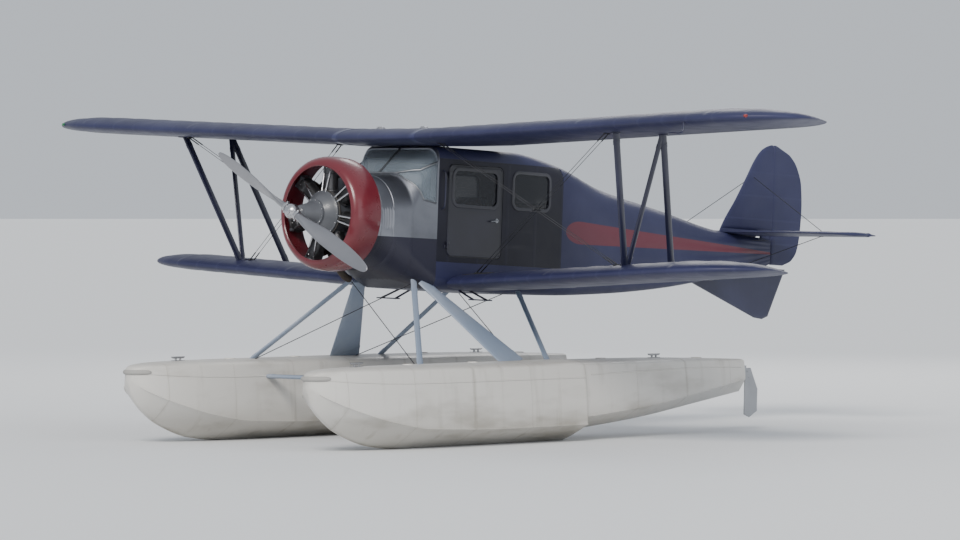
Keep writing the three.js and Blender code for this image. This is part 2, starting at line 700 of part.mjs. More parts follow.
// name, station of the head, station of the foot, chord at the head and at the foot, thickness
const FLOAT_STRUTS = [
  ["front", 1290, 560, 70, 70, 30],
  ["diagonal", 1400, 1900, 140, 380, 44],
  ["rear", 2760, 2380, 70, 70, 30],
];

function floatStrut([, head, foot, chord, footChord, thickness], lowerWing, floatInAirframe) {
  const ends = [place(head, HEAD_Y, HEAD_W), onFloat(foot, FLOAT_Y - 40, FOOT_Z)];
  return strut(...ends, chord, thickness, 12, footChord)
    .subtract(outside)
    .subtract(shifted(lowerWing, 0, 0, -GAP))
    .subtract(shifted(floatInAirframe, 0, 0, GAP));
}

function spreader(s, floatShape) {
  const z = DECK_Z - 170;
  const bar = strut(place(s, -FLOAT_Y, z), place(s, FLOAT_Y, z), 90, 46);
  return bar
    .subtract(shifted(floatShape, 0, FLOAT_Y - GAP, 0))
    .subtract(shifted(mirrored(floatShape), 0, GAP - FLOAT_Y, 0));
}

// Cabin
function instrumentPanel() {
  return hull(WALL + GAP).intersect(slice(1270, 1290, -60, 330));
}

function seat() {
  const base = block(1860, 2160, -150, 150, FLOOR_TOP + GAP, -240);
  const cushion = block(1780, 2230, -215, 215, -245, -130);
  const back = prism([[2160, -200], [2250, -200], [2330, 250], [2260, 265]], -205, 205);
  return joined([base, cushion, back]);
}

function bench() {
  const base = block(2790, 3150, -400, 400, FLOOR_TOP + GAP, -240);
  const cushion = block(2720, 3230, -450, 450, -245, -130);
  const back = prism([[3150, -200], [3260, -200], [3325, 240], [3250, 255]], -440, 440);
  return joined([base, cushion, back]);
}

function controlColumn() {
  const foot = rod(place(1560, 0, FLOOR_TOP + GAP), place(1560, 0, FLOOR_TOP + 24), 60, 16);
  const post = rod(place(1560, 0, FLOOR_TOP + 10), place(1530, 0, 40), 17);
  const arm = rod(place(1530, -225, 25), place(1530, 225, 25), 15);
  const rims = [-225, 225].map((y) => {
    const ring = new THREE.TorusGeometry(95, 11, 8, 24);
    ring.rotateY(Math.PI / 2);
    ring.translate(-1548, y, 25);
    return solid(ring);
  });
  const hubs = [-225, 225].flatMap((y) => [
    rod(place(1520, y, 25), place(1560, y, 25), 26),
    rod(place(1548, y - 95, 25), place(1548, y + 95, 25), 9),
  ]);
  return joined([foot, post, arm, ...rims, ...hubs]);
}

// Scene graph
const airframe = new THREE.Group();
airframe.rotation.y = -RIG;
airframe.position.set(NOSE_X, 0, THRUST_HEIGHT);
const floats = new THREE.Group();
floats.position.set(NOSE_X, 0, 0);

function add(parent, name, body, look, y = 0) {
  const mesh = new THREE.Mesh(surface(body), new THREE.MeshStandardMaterial(look));
  mesh.name = name;
  mesh.position.y = y;
  parent.add(mesh);
  return mesh;
}

function addPair(parent, name, body, look, y = 0) {
  add(parent, `${name}_port`, body, look, y);
  add(parent, `${name}_starboard`, mirrored(body), look, -y);
}

// A wing panel turned up by its dihedral and set at its root, in the airframe's frame
function rigged(body, wing) {
  const matrix = new THREE.Matrix4().makeRotationX(dihedralOf(wing));
  matrix.setPosition(-wing.lead, wing.root, wing.height);
  return transformed(body, matrix);
}

const upper = withAileron(
  wingPanel(UPPER.tip - UPPER.root),
  AILERON.from - UPPER.root,
  AILERON.to - UPPER.root
);
const lower = withAileron(
  wingPanel(LOWER.tip - LOWER.root),
  AILERON.from + LOWER_AILERON_SHIFT - LOWER.root,
  AILERON.to + LOWER_AILERON_SHIFT - LOWER.root
);
const middleRoom = block(0, 4000, -CENTRE_HALF, CENTRE_HALF, 0, 2000);
const upperWing = rigged(upper.wing, UPPER).subtract(middleRoom);
const lowerWing = rigged(lower.wing, LOWER).subtract(outside);
addPair(airframe, "upper_wing", upperWing, AIRFRAME_BLUE);
addPair(airframe, "lower_wing", lowerWing, AIRFRAME_BLUE);
addPair(airframe, "upper_aileron", rigged(upper.aileron, UPPER), AIRFRAME_BLUE);
addPair(airframe, "lower_aileron", rigged(lower.aileron, LOWER), AIRFRAME_BLUE);
const middle = airfoil(CHORD).map(([x, z]) => [UPPER.lead + x, UPPER.height + z]);
const hoistPad = block(1640, 1760, -60, 60, 860, 905);
add(airframe, "wing_centre_section", joined([prism(middle, GAP - CENTRE_HALF, CENTRE_HALF - GAP), hoistPad]),
  AIRFRAME_BLUE);
addPair(airframe, "interplane_strut", interplaneStrut(upperWing, lowerWing), DARK_BLUE);
addPair(airframe, "stay_wires", stayWires(upperWing, lowerWing), STEEL);

add(airframe, "nose_shell", noseShell(), ALUMINIUM);
add(airframe, "screen_frame", screenFrame(), ALUMINIUM);
add(airframe, "windscreen", pane.intersect(prism(screenOutline(GAP), -BEYOND, BEYOND)), GLASS);
addPair(airframe, "cabin_side", cabinSide(), AIRFRAME_BLUE);
addPair(airframe, "cabin_window", pane.intersect(window(REAR_GLASS, GAP)), GLASS);
addPair(airframe, "cabin_door", cabinDoor(), AIRFRAME_BLUE);
addPair(airframe, "door_glass", pane.intersect(window(DOOR_GLASS, GAP)), GLASS);
add(airframe, "cabin_floor", cabinFloor(), AIRFRAME_BLUE);
add(airframe, "cabin_roof", cabinRoof(), AIRFRAME_BLUE);
add(airframe, "rear_fuselage", rearFuselage(), AIRFRAME_BLUE);
add(airframe, "instrument_panel", instrumentPanel(), BLACK);
addPair(airframe, "front_seat", seat(), LEATHER, 235);
add(airframe, "rear_bench", bench(), LEATHER);
add(airframe, "control_column", controlColumn(), BLACK);

add(airframe, "engine", engine(), STEEL);
add(airframe, "cowl_ring", cowl(), RED);
const propellerMesh = add(airframe, "propeller", propeller(), ALUMINIUM);
propellerMesh.rotation.x = PROPELLER_REST;

const stabiliserBody = stabiliser();
add(airframe, "stabiliser", stabiliserBody, AIRFRAME_BLUE);
add(airframe, "elevator", elevator(), AIRFRAME_BLUE);
add(airframe, "fin", fin(stabiliserBody), AIRFRAME_BLUE);
add(airframe, "rudder", rudder(), AIRFRAME_BLUE);
add(airframe, "ventral_fin", ventralFin(), DARK_BLUE);

const floatShape = floatBody();
const portFloat = transformed(shifted(floatShape, 0, FLOAT_Y, 0), keelToAirframe);
for (const row of FLOAT_STRUTS) {
  addPair(airframe, `float_strut_${row[0]}`, floatStrut(row, lowerWing, portFloat), STRUT_GREY);
}
addPair(floats, "float", floatShape, FLOAT_WHITE, FLOAT_Y);
addPair(floats, "water_rudder", waterRudder(), ALUMINIUM, FLOAT_Y);
add(floats, "spreader_front", spreader(560, floatShape), STRUT_GREY);
add(floats, "spreader_rear", spreader(1970, floatShape), STRUT_GREY);

const group = new THREE.Group();
group.add(airframe, floats);
export default group;
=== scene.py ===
import json
import math
from types import SimpleNamespace as Sizes

import bpy
import numpy as np
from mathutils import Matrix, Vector
from numpy import array, concatenate, cos, linspace, pi, sin, sqrt, stack


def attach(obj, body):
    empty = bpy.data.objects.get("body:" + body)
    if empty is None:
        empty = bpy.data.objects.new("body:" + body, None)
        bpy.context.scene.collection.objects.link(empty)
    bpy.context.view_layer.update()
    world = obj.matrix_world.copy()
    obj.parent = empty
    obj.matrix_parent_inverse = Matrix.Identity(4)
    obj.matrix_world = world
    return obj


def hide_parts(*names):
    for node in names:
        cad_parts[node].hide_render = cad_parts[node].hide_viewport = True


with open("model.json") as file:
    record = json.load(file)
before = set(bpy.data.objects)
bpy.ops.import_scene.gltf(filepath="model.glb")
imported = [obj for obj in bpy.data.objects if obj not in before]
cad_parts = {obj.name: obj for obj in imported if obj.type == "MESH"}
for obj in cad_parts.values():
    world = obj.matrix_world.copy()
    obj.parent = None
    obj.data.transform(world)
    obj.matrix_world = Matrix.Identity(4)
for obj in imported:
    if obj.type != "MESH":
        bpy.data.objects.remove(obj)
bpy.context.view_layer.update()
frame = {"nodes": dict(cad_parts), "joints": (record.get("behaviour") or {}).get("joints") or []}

# Where things are
# Every place on the airframe is a station aft of the propeller, a side to port and a height above the
# thrust line, in metres. The propeller's joint says where that line starts and how it is tilted.
spin = {joint["name"]: joint for joint in frame["joints"]}["propeller_spin"]
HUB = array(spin["pos_m"])
AHEAD = array(spin["axis"]) / np.linalg.norm(spin["axis"])
PORT = array([0.0, 1.0, 0.0])
ABOVE = np.cross(AHEAD, PORT)
MIRROR = [1, -1, 1]


def rigged(station, side, height):
    """The hub, less the station along the thrust line, plus the side and the height square to it."""
    station, side, height = (value[..., None] for value in np.broadcast_arrays(station, side, height))
    return HUB - station * AHEAD + side * PORT + height * ABOVE


# Floor, light and camera
# A pale floor at the keels, a soft sky, one large key light and a fill. The camera looks from off the
# port bow, at the photograph's heading and eye height, with a longer lens.
EYE_DISTANCE = 50.0
EYE_HEIGHT = 2.5
HEADING = math.radians(45.8)
AIM = Vector((0.36, -0.32, 1.66))
LENS = 188.0
SENSOR = 36.0
FAR_END = 400.0
LIGHT_AIM = Vector((0, 0, 1.5))
SKY_COLOUR = (0.8, 0.85, 0.92, 1)
SKY_STRENGTH = 0.78
SUN_WIDTH = math.radians(22)
FLOOR_HALF = 300
FLOOR_COLOUR = (0.8, 0.81, 0.82, 1)
FLOOR_ROUGHNESS = 0.75


def shown_as(name, data):
    """An object of this data in the scene."""
    shown = bpy.data.objects.new(name, data)
    bpy.context.scene.collection.objects.link(shown)
    return shown


camera = shown_as("camera", bpy.data.cameras.new("camera"))
camera.data.lens = LENS
camera.data.sensor_width = SENSOR
camera.data.clip_end = FAR_END
bpy.context.scene.camera = camera
wing_middle = Vector(rigged(1.8, 0.0, 0.8))
eye = wing_middle + EYE_DISTANCE * Vector((math.sin(HEADING), math.cos(HEADING), 0.0))
camera.location = (eye.x, eye.y, EYE_HEIGHT)
camera.rotation_euler = (AIM - camera.location).to_track_quat("-Z", "Y").to_euler()

world = bpy.data.worlds.new("soft_sky")
bpy.context.scene.world = world
world.use_nodes = True
world.node_tree.nodes["Background"].inputs["Color"].default_value = SKY_COLOUR
world.node_tree.nodes["Background"].inputs["Strength"].default_value = SKY_STRENGTH


def lamp(name, place, size, power, colour):
    """A square light of a size, or a soft sun where it has none, aimed at the middle of the aircraft."""
    data = bpy.data.lights.new(name, "AREA" if size else "SUN")
    if size:
        data.size = size
    else:
        data.angle = SUN_WIDTH
    data.energy = power
    data.color = colour
    light = shown_as(name, data)
    light.location = place
    light.rotation_euler = (LIGHT_AIM - light.location).to_track_quat("-Z", "Y").to_euler()


lamp("key", (14.0, 8.0, 13.0), None, 2.7, (1.0, 0.97, 0.92))
lamp("fill", (3.0, 20.0, 6.0), 12.0, 500.0, (0.92, 0.95, 1.0))
lamp("rim", (-16.0, -10.0, 12.0), 8.0, 700.0, (1.0, 0.98, 0.95))

floor = shown_as("floor", bpy.data.meshes.new("floor"))
floor_corners = [(FLOOR_HALF * x, FLOOR_HALF * y, 0) for x, y in ((-1, -1), (1, -1), (1, 1), (-1, 1))]
floor.data.from_pydata(floor_corners, [], [(0, 1, 2, 3)])
floor_material = bpy.data.materials.new("pale_floor")
floor_material.use_nodes = True
floor_shader = floor_material.node_tree.nodes["Principled BSDF"]
floor_shader.inputs["Base Color"].default_value = FLOOR_COLOUR
floor_shader.inputs["Roughness"].default_value = FLOOR_ROUGHNESS
floor.data.materials.append(floor_material)


# Fuselage skins
# The rear fuselage and the cabin are doped fabric over tubes and stringers, the roof and the belly
# with rounded corners. Each skin is a patch of one surface: a section at every station, made of a flat
# belly, a quarter circle, a flat side, a quarter circle and a flat top.
def joining(operation, turned_round=False):
    """An operator that joins two values by one of the Math node's operations."""
    if turned_round:
        return lambda self, other: self.math(operation, other, self)
    return lambda self, other: self.math(operation, self, other)


class Value:
    """A shader value: Python's operators on it add Math nodes."""

    __add__, __radd__ = joining("ADD"), joining("ADD", True)
    __sub__, __rsub__ = joining("SUBTRACT"), joining("SUBTRACT", True)
    __mul__, __rmul__ = joining("MULTIPLY"), joining("MULTIPLY", True)
    __truediv__, smaller, larger = joining("DIVIDE"), joining("MINIMUM"), joining("MAXIMUM")

    def __init__(self, finish, socket):
        self.finish = finish
        self.socket = socket

    def math(self, operation, *values):
        return self.finish.add("ShaderNodeMath", {"operation": operation}, dict(enumerate(values)))

    def __abs__(self):
        return self.math("ABSOLUTE", self)

    def fraction(self):
        return self.math("FRACT", self)

    def smooth(self, low, high):
        """0 at low, 1 at high, and a soft step between; low may be the larger."""
        return self.finish.add("ShaderNodeMapRange", {"interpolation_type": "SMOOTHSTEP"},
                               {"Value": self, "From Min": low, "From Max": high})


class Finish:
    """One material: a Principled shader, and nodes that vary it over the surface."""

    def __init__(self, name, colour, roughness=0.5, metallic=0.0, coat=0.0, alpha=1.0):
        self.material = bpy.data.materials.new(name)
        self.material.use_nodes = True
        self.tree = self.material.node_tree
        self.shader = self.tree.nodes["Principled BSDF"]
        for socket, value in (("Base Color", (*colour, 1.0)), ("Roughness", roughness), ("Alpha", alpha),
                              ("Metallic", metallic), ("Coat Weight", coat), ("Coat Roughness", 0.1)):
            self.set(socket, value)
        self.place = self.add("ShaderNodeTexCoord", {}, {}, "Object")

    def feed(self, socket, value):
        if isinstance(value, Value):
            self.tree.links.new(value.socket, socket)
        else:
            socket.default_value = value

    def set(self, name, value):
        self.feed(self.shader.inputs[name], value)

    def add(self, kind, settings, inputs, output=0):
        """A node of any kind: its settings first, then the values or links of its sockets."""
        node = self.tree.nodes.new(kind)
        for name, value in settings.items():
            setattr(node, name, value)
        for name, value in inputs.items():
            self.feed(node.inputs[name], value)
        return Value(self, node.outputs[output])

    def axis(self, k):
        """One of the point's three coordinates."""
        return self.add("ShaderNodeSeparateXYZ", {}, {0: self.place}, k)

    def along(self, direction, origin=HUB):
        """How far the point lies from an origin in a direction."""
        away = self.add("ShaderNodeVectorMath", {"operation": "SUBTRACT"}, {0: self.place, 1: tuple(origin)})
        return self.add("ShaderNodeVectorMath", {"operation": "DOT_PRODUCT"}, {0: away, 1: tuple(direction)},
                        "Value")

    def noise(self, scale, detail=3.0, stretch=(1, 1, 1), distortion=0.0):
        spread = self.add("ShaderNodeMapping", {}, {"Vector": self.place, "Scale": stretch})
        return self.add("ShaderNodeTexNoise", {},
                        {"Vector": spread, "Scale": scale, "Detail": detail, "Distortion": distortion})

    def mix(self, share, first, second):
        """Two colours by a share."""
        first, second = ((*c, 1.0) if isinstance(c, tuple) else c for c in (first, second))
        return self.add("ShaderNodeMix", {"data_type": "RGBA"}, {0: share, 6: first, 7: second}, 2)

    def shade(self, share, first, second):
        self.set("Base Color", self.mix(share, first, second))

    def rough(self, least, spread, share):
        self.set("Roughness", least + spread * share)

    def bump(self, height, depth, strength=1.0):
        self.set("Normal", self.add("ShaderNodeBump", {},
                                    {"Height": height, "Distance": depth, "Strength": strength}))

    def every(self, along, pitch, width):
        """1 in a band of a width about each multiple of a pitch along a value, 0 between."""
        off = abs((along / pitch + 0.5).fraction() - 0.5) * pitch
        return off.smooth(width * 0.5, width * 0.3)


def turned(faces):
    """The faces the other way round; a three-cornered face repeats its last corner."""
    flat = faces[:, 2] == faces[:, 3]
    return np.where(flat[:, None], faces[:, [2, 1, 0, 0]], faces[:, ::-1])


def outward(points, faces):
    """The points and faces of a closed body, turned round if its volume comes out below zero."""
    a, b, c, d = (points[faces[:, k]] - points[0] for k in range(4))
    volume = np.sum(a * (np.cross(b, c) + np.cross(c, d)))
    return points, (faces if volume > 0 else turned(faces))


def rings_body(rings, closed=False):
    """A closed body through a stack of rings of points; the ends are fans, or the stack closes on itself."""
    rings = array(rings)
    rows, columns = rings.shape[:2]
    r = np.arange(rows if closed else rows - 1)[:, None]
    c = np.arange(columns)
    after = (c + 1) % columns
    up = (r + 1) % rows
    quads = stack([r * columns + c, r * columns + after, up * columns + after, up * columns + c], -1)
    quads = quads.reshape(-1, 4)
    points = rings.reshape(-1, 3)
    if not closed:
        points = concatenate([points, rings[:1].mean(1), rings[-1:].mean(1)])
        first = np.full(columns, rows * columns)
        base = (rows - 1) * columns
        quads = concatenate([quads, stack([after, c, first, first], -1),
                             stack([base + c, base + after, first + 1, first + 1], -1)])
    return outward(points, quads)


def sheet_body(outer, inner):
    """A wall between two open patches of the same grid, closed along its four edges."""
    rows, columns = outer.shape[:2]
    r = np.arange(rows - 1)[:, None]
    c = np.arange(columns - 1)
    a, b = r * columns + c, r * columns + c + 1
    d, e = a + columns, b + columns
    far = rows * columns
    faces = [stack([a, b, e, d], -1).reshape(-1, 4), stack([a, d, e, b], -1).reshape(-1, 4) + far]
    for one, two in ((b[0], a[0]), (d[-1], e[-1]), (a[:, 0], d[:, 0]), (e[:, -1], b[:, -1])):
        faces.append(stack([one, two, two + far, one + far], -1))
    return outward(concatenate([outer.reshape(-1, 3), inner.reshape(-1, 3)]), concatenate(faces))


def mesh_of(name, points, faces):
    """A mesh; a face that repeats its last corner has three."""
    mesh = bpy.data.meshes.new(name)
    mesh.from_pydata(points.tolist(), [], [f if f[2] != f[3] else f[:3] for f in faces.tolist()])
    return mesh


CREASE = math.radians(35)


def piece(name, parts, slot, finish, *nodes, body="airframe"):
    """One mesh from closed parts, smooth but for edges sharper than the crease."""
    starts = np.cumsum([0, *(len(points) for points, _ in parts)])
    faces = concatenate([part_faces + start for (_, part_faces), start in zip(parts, starts)])
    mesh = mesh_of(name, concatenate([points for points, _ in parts]), faces)
    mesh.shade_smooth()
    mesh.set_sharp_from_angle(angle=CREASE)
    mesh.materials.append(finish.material)
    shown = shown_as(name, mesh)
    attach(shown, body)
    if nodes:
        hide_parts(*nodes)


def mirrored(parts):
    """The same parts on the other side of the aircraft."""
    return [(points * MIRROR, turned(faces)) for points, faces in parts]


def twin(*parts):
    """The parts and their mirror images."""
    return [*parts, *mirrored(parts)]


def set_out(parts, side):
    """The parts moved sideways."""
    return [(points + [0, side, 0], faces) for points, faces in parts]


def both(name, parts, slot, finish, *nodes, body="airframe", out=None):
    """The piece to port and to starboard, mirrored or else set out by a distance; {} is the side's name."""
    sides = (parts, mirrored(parts)) if out is None else (set_out(parts, out), set_out(parts, -out))
    for hand, own in zip(("port", "starboard"), sides):
        piece(name.format(hand), own, slot, finish, *(node.format(hand) for node in nodes),
              body=body.format(hand))


NAVY = (0.021, 0.023, 0.066)
NAVY_WORN = (0.036, 0.039, 0.095)
GRIME = (0.1, 0.1, 0.11)
STRIPE_RED = (0.125, 0.028, 0.044)
STRIPE = Sizes(tip=3.42, nose=0.26, half=0.125, taper=0.03, level=-0.03, fall=0.018, pivot=3.0, edge=0.004)
TAPE_WEAR = 0.45


def doped(name, colour=NAVY, worn=NAVY_WORN, striped=False, pitch=None, width=0.0, root=0.0, across=None):
    """Gloss dope on fabric: a faint weave, broad fading, grime, and pinked tape over each rib."""
    finish = Finish(name, colour)
    fade = finish.noise(0.9, 4.0)
    paint = finish.mix(fade.smooth(0.35, 0.75), colour, worn)
    weave = finish.noise(420.0, 2.0) * 0.25 + finish.noise(14.0, 3.0)
    if pitch:
        along = abs(finish.axis(1)) if across is None else finish.along(across)
        tape = finish.every(along - root, pitch, width)
        paint = finish.mix(tape * TAPE_WEAR, paint, worn)
        weave = weave + tape * 1.2
    if striped:
        station = finish.along(-AHEAD)
        behind = (station - STRIPE.tip).larger(0.0)
        past = (behind / STRIPE.nose).smaller(1.0)
        rounded = past.math("POWER", past * (2.0 - past), 0.5)
        half = rounded * (STRIPE.half - behind * STRIPE.taper)
        off = abs(finish.along(ABOVE) - STRIPE.level + STRIPE.fall * (station - STRIPE.pivot))
        paint = finish.mix((half - off).smooth(0.0, STRIPE.edge), paint, STRIPE_RED)
    streaks = finish.noise(3.0, 5.0, stretch=(0.25, 1.0, 2.5))
    finish.shade(streaks.smooth(0.62, 0.85) * 0.25, paint, GRIME)
    finish.set("Specular IOR Level", 0.35)
    finish.rough(0.34, 0.24, finish.noise(5.0, 5.0))
    finish.bump(weave, 0.0012, 0.5)
    return finish


fuselage_dope = doped("navy_fuselage_dope", striped=True)

# station, half width, top, bottom, radius of the top corners, radius of the bottom corners
HULL = array([
    [0.79, 0.425, 0.392, -0.45, 0.385, 0.385],
    [1.16, 0.5, 0.415, -0.61, 0.36, 0.3],
    [1.5, 0.525, 0.72, -0.69, 0.12, 0.12],
    [2.6, 0.525, 0.72, -0.7, 0.12, 0.12],
    [3.35, 0.49, 0.63, -0.69, 0.165, 0.11],
    [4.2, 0.4, 0.43, -0.645, 0.24, 0.09],
    [5.2, 0.29, 0.27, -0.55, 0.19, 0.07],
    [6.3, 0.17, 0.092, -0.38, 0.12, 0.05],
    [7.15, 0.04, 0.05, -0.23, 0.038, 0.03],
])
FIREWALL, SCREEN_FOOT, CABIN_FRONT, STRAIGHT_END, CABIN_REAR, STERN_POST = HULL[[0, 1, 2, 3, 4, 8], 0]
CABIN_HALF = HULL[2, 1]
FLOOR_TOP, ROOF_SPLIT = -0.42, 0.6
WALL = 0.02
SEAM = 0.0005


def between(table, at):
    """A cubic through a table's rows that keeps rising or falling as the rows do."""
    knots, values = table[:, 0], table[:, 1:]
    width = np.diff(knots)[:, None]
    slope = np.diff(values, axis=0) / width
    before, after = slope[:-1], slope[1:]
    same = before * after > 0
    middle = np.where(same, 2 * before * after / np.where(same, before + after, 1), 0)
    tangent = concatenate([slope[:1], middle, slope[-1:]])
    i = np.clip(np.searchsorted(knots, at, "right") - 1, 0, len(knots) - 2)
    t = ((at - knots[i]) / width[i, 0])[:, None]
    return (values[i] * (1 + 2 * t) * (1 - t) ** 2 + values[i + 1] * t * t * (3 - 2 * t)
            + tangent[i] * width[i] * t * (1 - t) ** 2 - tangent[i + 1] * width[i] * t * t * (1 - t))


def hull_sizes(stations):
    """The section's five sizes: straight between rows up to the cabin, a smooth cubic behind it."""
    straight = stack([np.interp(stations, HULL[:, 0], column) for column in HULL[:, 1:].T], -1)
    return np.where(stations[:, None] < STRAIGHT_END, straight, between(HULL, stations)).T


def section_runs(half, top, bottom, high, low):
    """How far round half a section its belly, lower corner, side, upper corner and roof end."""
    return np.cumsum([half - low, low * pi / 2, top - bottom - high - low, high * pi / 2, half - high], 0)


def section(sizes, share, inset=0.0):
    """Side and height round half a section, from the belly's middle at share 0 to the roof's at 1."""
    half, top, bottom, high, low = sizes = [size[:, None] for size in sizes]
    ends = section_runs(*sizes)
    at = share * ends[4]
    lower, upper = (at - ends[0]) / low, (at - ends[2]) / high
    runs = [at < end for end in ends[:4]]
    side = np.select(runs, [at, half - low + (low - inset) * sin(lower), half - inset + 0 * at,
                            half - high + (high - inset) * cos(upper)], half - high - (at - ends[3]))
    height = np.select(runs, [bottom + inset + 0 * at, bottom + low - (low - inset) * cos(lower),
                              bottom + low + (at - ends[1]), top - high + (high - inset) * sin(upper)],
                       top - inset + 0 * at)
    return side, height


def share_at(stations, level):
    """The share round half the section at each station at which it reaches a height."""
    half, top, bottom, high, low = sizes = hull_sizes(stations)
    ends = section_runs(*sizes)
    lower = ends[0] + low * np.arccos(np.clip((bottom + low - level) / low, -1, 1))
    side = ends[1] + level - bottom - low
    upper = ends[2] + high * np.arcsin(np.clip((level - top + high) / high, -1, 1))
    return np.select([level < bottom + low, level < top - high], [lower, side], upper) / ends[4]


def hull_patch(stations, from_share, to_share, count, inset=0.0):
    """A patch of the port half of the hull; the shares may change along the stations."""
    from_share, to_share = (np.broadcast_to(share, stations.shape)[:, None]
                            for share in (from_share, to_share))
    share = from_share + (to_share - from_share) * linspace(0, 1, count)
    return rigged(stations[:, None], *section(hull_sizes(stations), share, inset))


def skin_wall(stations, from_share, to_share, count, outer=0.0, inner=WALL):
    """A wall between two depths under the skin, from port over the middle to starboard."""
    patches = (hull_patch(stations, from_share, to_share, count, inset) for inset in (outer, inner))
    return sheet_body(*(concatenate([patch, patch[:, -2::-1] * MIRROR], 1) for patch in patches))


def all_round(port_patch):
    """Whole rings from patches that run from the keel or the belly's middle to the top's."""
    return concatenate([port_patch, port_patch[:, -2:0:-1] * MIRROR], 1)


STRINGERS = 9  # on each side of the rear fuselage
STRINGER_SLACK = 0.0035
SLACK_RUN = 0.25  # over which the stringers come to show
rear_stations = linspace(CABIN_REAR + SEAM, STERN_POST, 120)
dips = STRINGER_SLACK * sin(pi * STRINGERS * linspace(0, 1, 91)) ** 2
dips = dips * np.clip((rear_stations - CABIN_REAR) / SLACK_RUN, 0, 1)[:, None]
piece("rear_fuselage_skin", [rings_body(all_round(hull_patch(rear_stations, 0, 1, 91, dips)))],
      "airframe_blue", fuselage_dope, "rear_fuselage")

cabin_stations = linspace(CABIN_FRONT, CABIN_REAR - SEAM, 40)
roof_share, belly_share = share_at(cabin_stations, ROOF_SPLIT), share_at(cabin_stations, FLOOR_TOP - SEAM)
piece("cabin_roof_skin", [skin_wall(cabin_stations, roof_share, 1, 24)], "airframe_blue", fuselage_dope,
      "cabin_roof")
piece("cabin_belly", [skin_wall(cabin_stations, belly_share, 0, 24)], "airframe_blue", fuselage_dope,
      "cabin_floor")

BOARD_THICKNESS = 0.018
BOARD_BROWN, BOARD_DARK, BOARD_PALE = (0.25, 0.15, 0.075), (0.155, 0.088, 0.042), (0.3, 0.185, 0.095)
board_edge = section(hull_sizes(cabin_stations), belly_share[:, None], WALL + 0.002)[0]
board = [rigged(cabin_stations[:, None], board_edge * linspace(-1, 1, 9), height)
         for height in (FLOOR_TOP, FLOOR_TOP - BOARD_THICKNESS)]
board_wood = Finish("varnished_plywood", BOARD_BROWN)
grain = board_wood.noise(9.0, 6.0, stretch=(0.6, 7.0, 7.0), distortion=0.4)
board_wood.shade(grain.smooth(0.35, 0.7), BOARD_DARK, BOARD_PALE)
board_wood.rough(0.38, 0.25, grain)
board_wood.bump(grain, 0.0008, 0.4)
piece("cabin_floor_board", [sheet_body(*board)], "panel_black", board_wood)


# Cabin sides, doors and windows
# Each side wall is a fabric-covered frame with a metal door and a fixed rear window, both let into
# openings with round corners. The panes sit in pressed frames, and the door hangs on two pinned hinges.
def room(front, rear, low, high, corner=0.0):
    """An opening's or an outline's edges and the radius of its corners."""
    return Sizes(front=front, rear=rear, low=low, high=high, corner=corner)


DOOR = room(1.64, 2.42, -0.36, 0.55, 0.06)
DOOR_GLASS = room(1.715, 2.345, 0.15, 0.5, 0.07)
REAR_GLASS = room(2.58, 3.13, 0.16, 0.51, 0.07)
WALL_SPLIT = 2.5  # between the door's frame and the rear window's
DOOR_GAP = 0.006
# Painted shadow: this near-black stands for the upper wing's shadow on the cabin side. The faded tone is the
# same painted shadow with real fading, and the lower nose also uses it as painted shade.
SHADE_BLACK = (0.0065, 0.0065, 0.015)
SHADE_BLACK_FADED = (0.014, 0.014, 0.03)
FRAME_GREY = (0.3, 0.31, 0.33)
SHEET_CLEAR, SHEET_SHADED = (0.3, 0.36, 0.42), (0.015, 0.017, 0.024)


def hull_side(stations, heights):
    """How far out the port skin is at given stations and heights."""
    half, top, bottom, high, low = [size.reshape(stations.shape) for size in hull_sizes(stations.ravel())]
    up = np.clip((heights - top + high) / high, 0, 1)
    down = np.clip((bottom + low - heights) / low, 0, 1)
    return half - high * (1 - sqrt(1 - up**2)) - low * (1 - sqrt(1 - down**2))


def opening(window, margin=0.0):
    """A loop of stations and heights: four quarter circles joined by straight edges, drawn in by a margin."""
    corner = max(window.corner - margin, 0.001)
    front, rear = window.front + margin + corner, window.rear - margin - corner
    low, high = window.low + margin + corner, window.high - margin - corner
    turn = linspace(0, pi / 2, 10)
    edge = linspace(0, 1, 14)[1:-1, None]
    arcs = [stack([s + corner * cos(turn + k * pi / 2), w + corner * sin(turn + k * pi / 2)], -1)
            for k, (s, w) in enumerate([(rear, high), (front, high), (front, low), (rear, low)])]
    runs = [arcs[k][-1] + edge * (arcs[(k + 1) % 4][0] - arcs[k][-1]) for k in range(4)]
    return concatenate([part for pair in zip(arcs, runs) for part in pair])


def wall_ring(inner, outer, thickness, rows=12, bevel=0.0, inset=0.0):
    """A wall of a thickness between an inner and an outer loop, on the hull's side or inset from it."""
    loops = inner + linspace(0, 1, rows)[:, None, None] * (outer - inner)
    stations, heights = loops[..., 0], loops[..., 1]
    skin = hull_side(stations, heights) - inset
    drop = np.zeros((rows, 1))
    drop[[0, -1]] = bevel
    return rings_body(concatenate([rigged(stations, skin - drop, heights),
                                   rigged(stations, skin - thickness + drop, heights)[::-1]]), closed=True)


# each row is a margin from the window's edge and a height off the skin
PRESSED_FRAME = [[(0.009, -0.01), (0.009, 0.005), (-0.003, 0.007), (-0.022, 0.006), (-0.026, -0.002)],
                 [(0.012, -0.022), (0.012, -0.012), (-0.004, -0.012), (-0.004, -0.022)]]
DOOR_BEAD = [(0.004, 0.0), (0.006, 0.004), (0.014, 0.004), (0.018, 0.0)]


def trim_ring(window, profile):
    """A frame round a window, its profile given as margins and heights."""
    rows = []
    for margin, lift in profile:
        stations, heights = opening(window, margin).T
        rows.append(rigged(stations, hull_side(stations, heights) + lift, heights))
    return rings_body(rows, closed=True)


def circle(count):
    """Evenly spaced turns round a whole circle."""
    return linspace(0, 2 * pi, count, endpoint=False)


def unit(vectors):
    """The same directions, at length one."""
    return vectors / np.linalg.norm(vectors, axis=-1, keepdims=True)


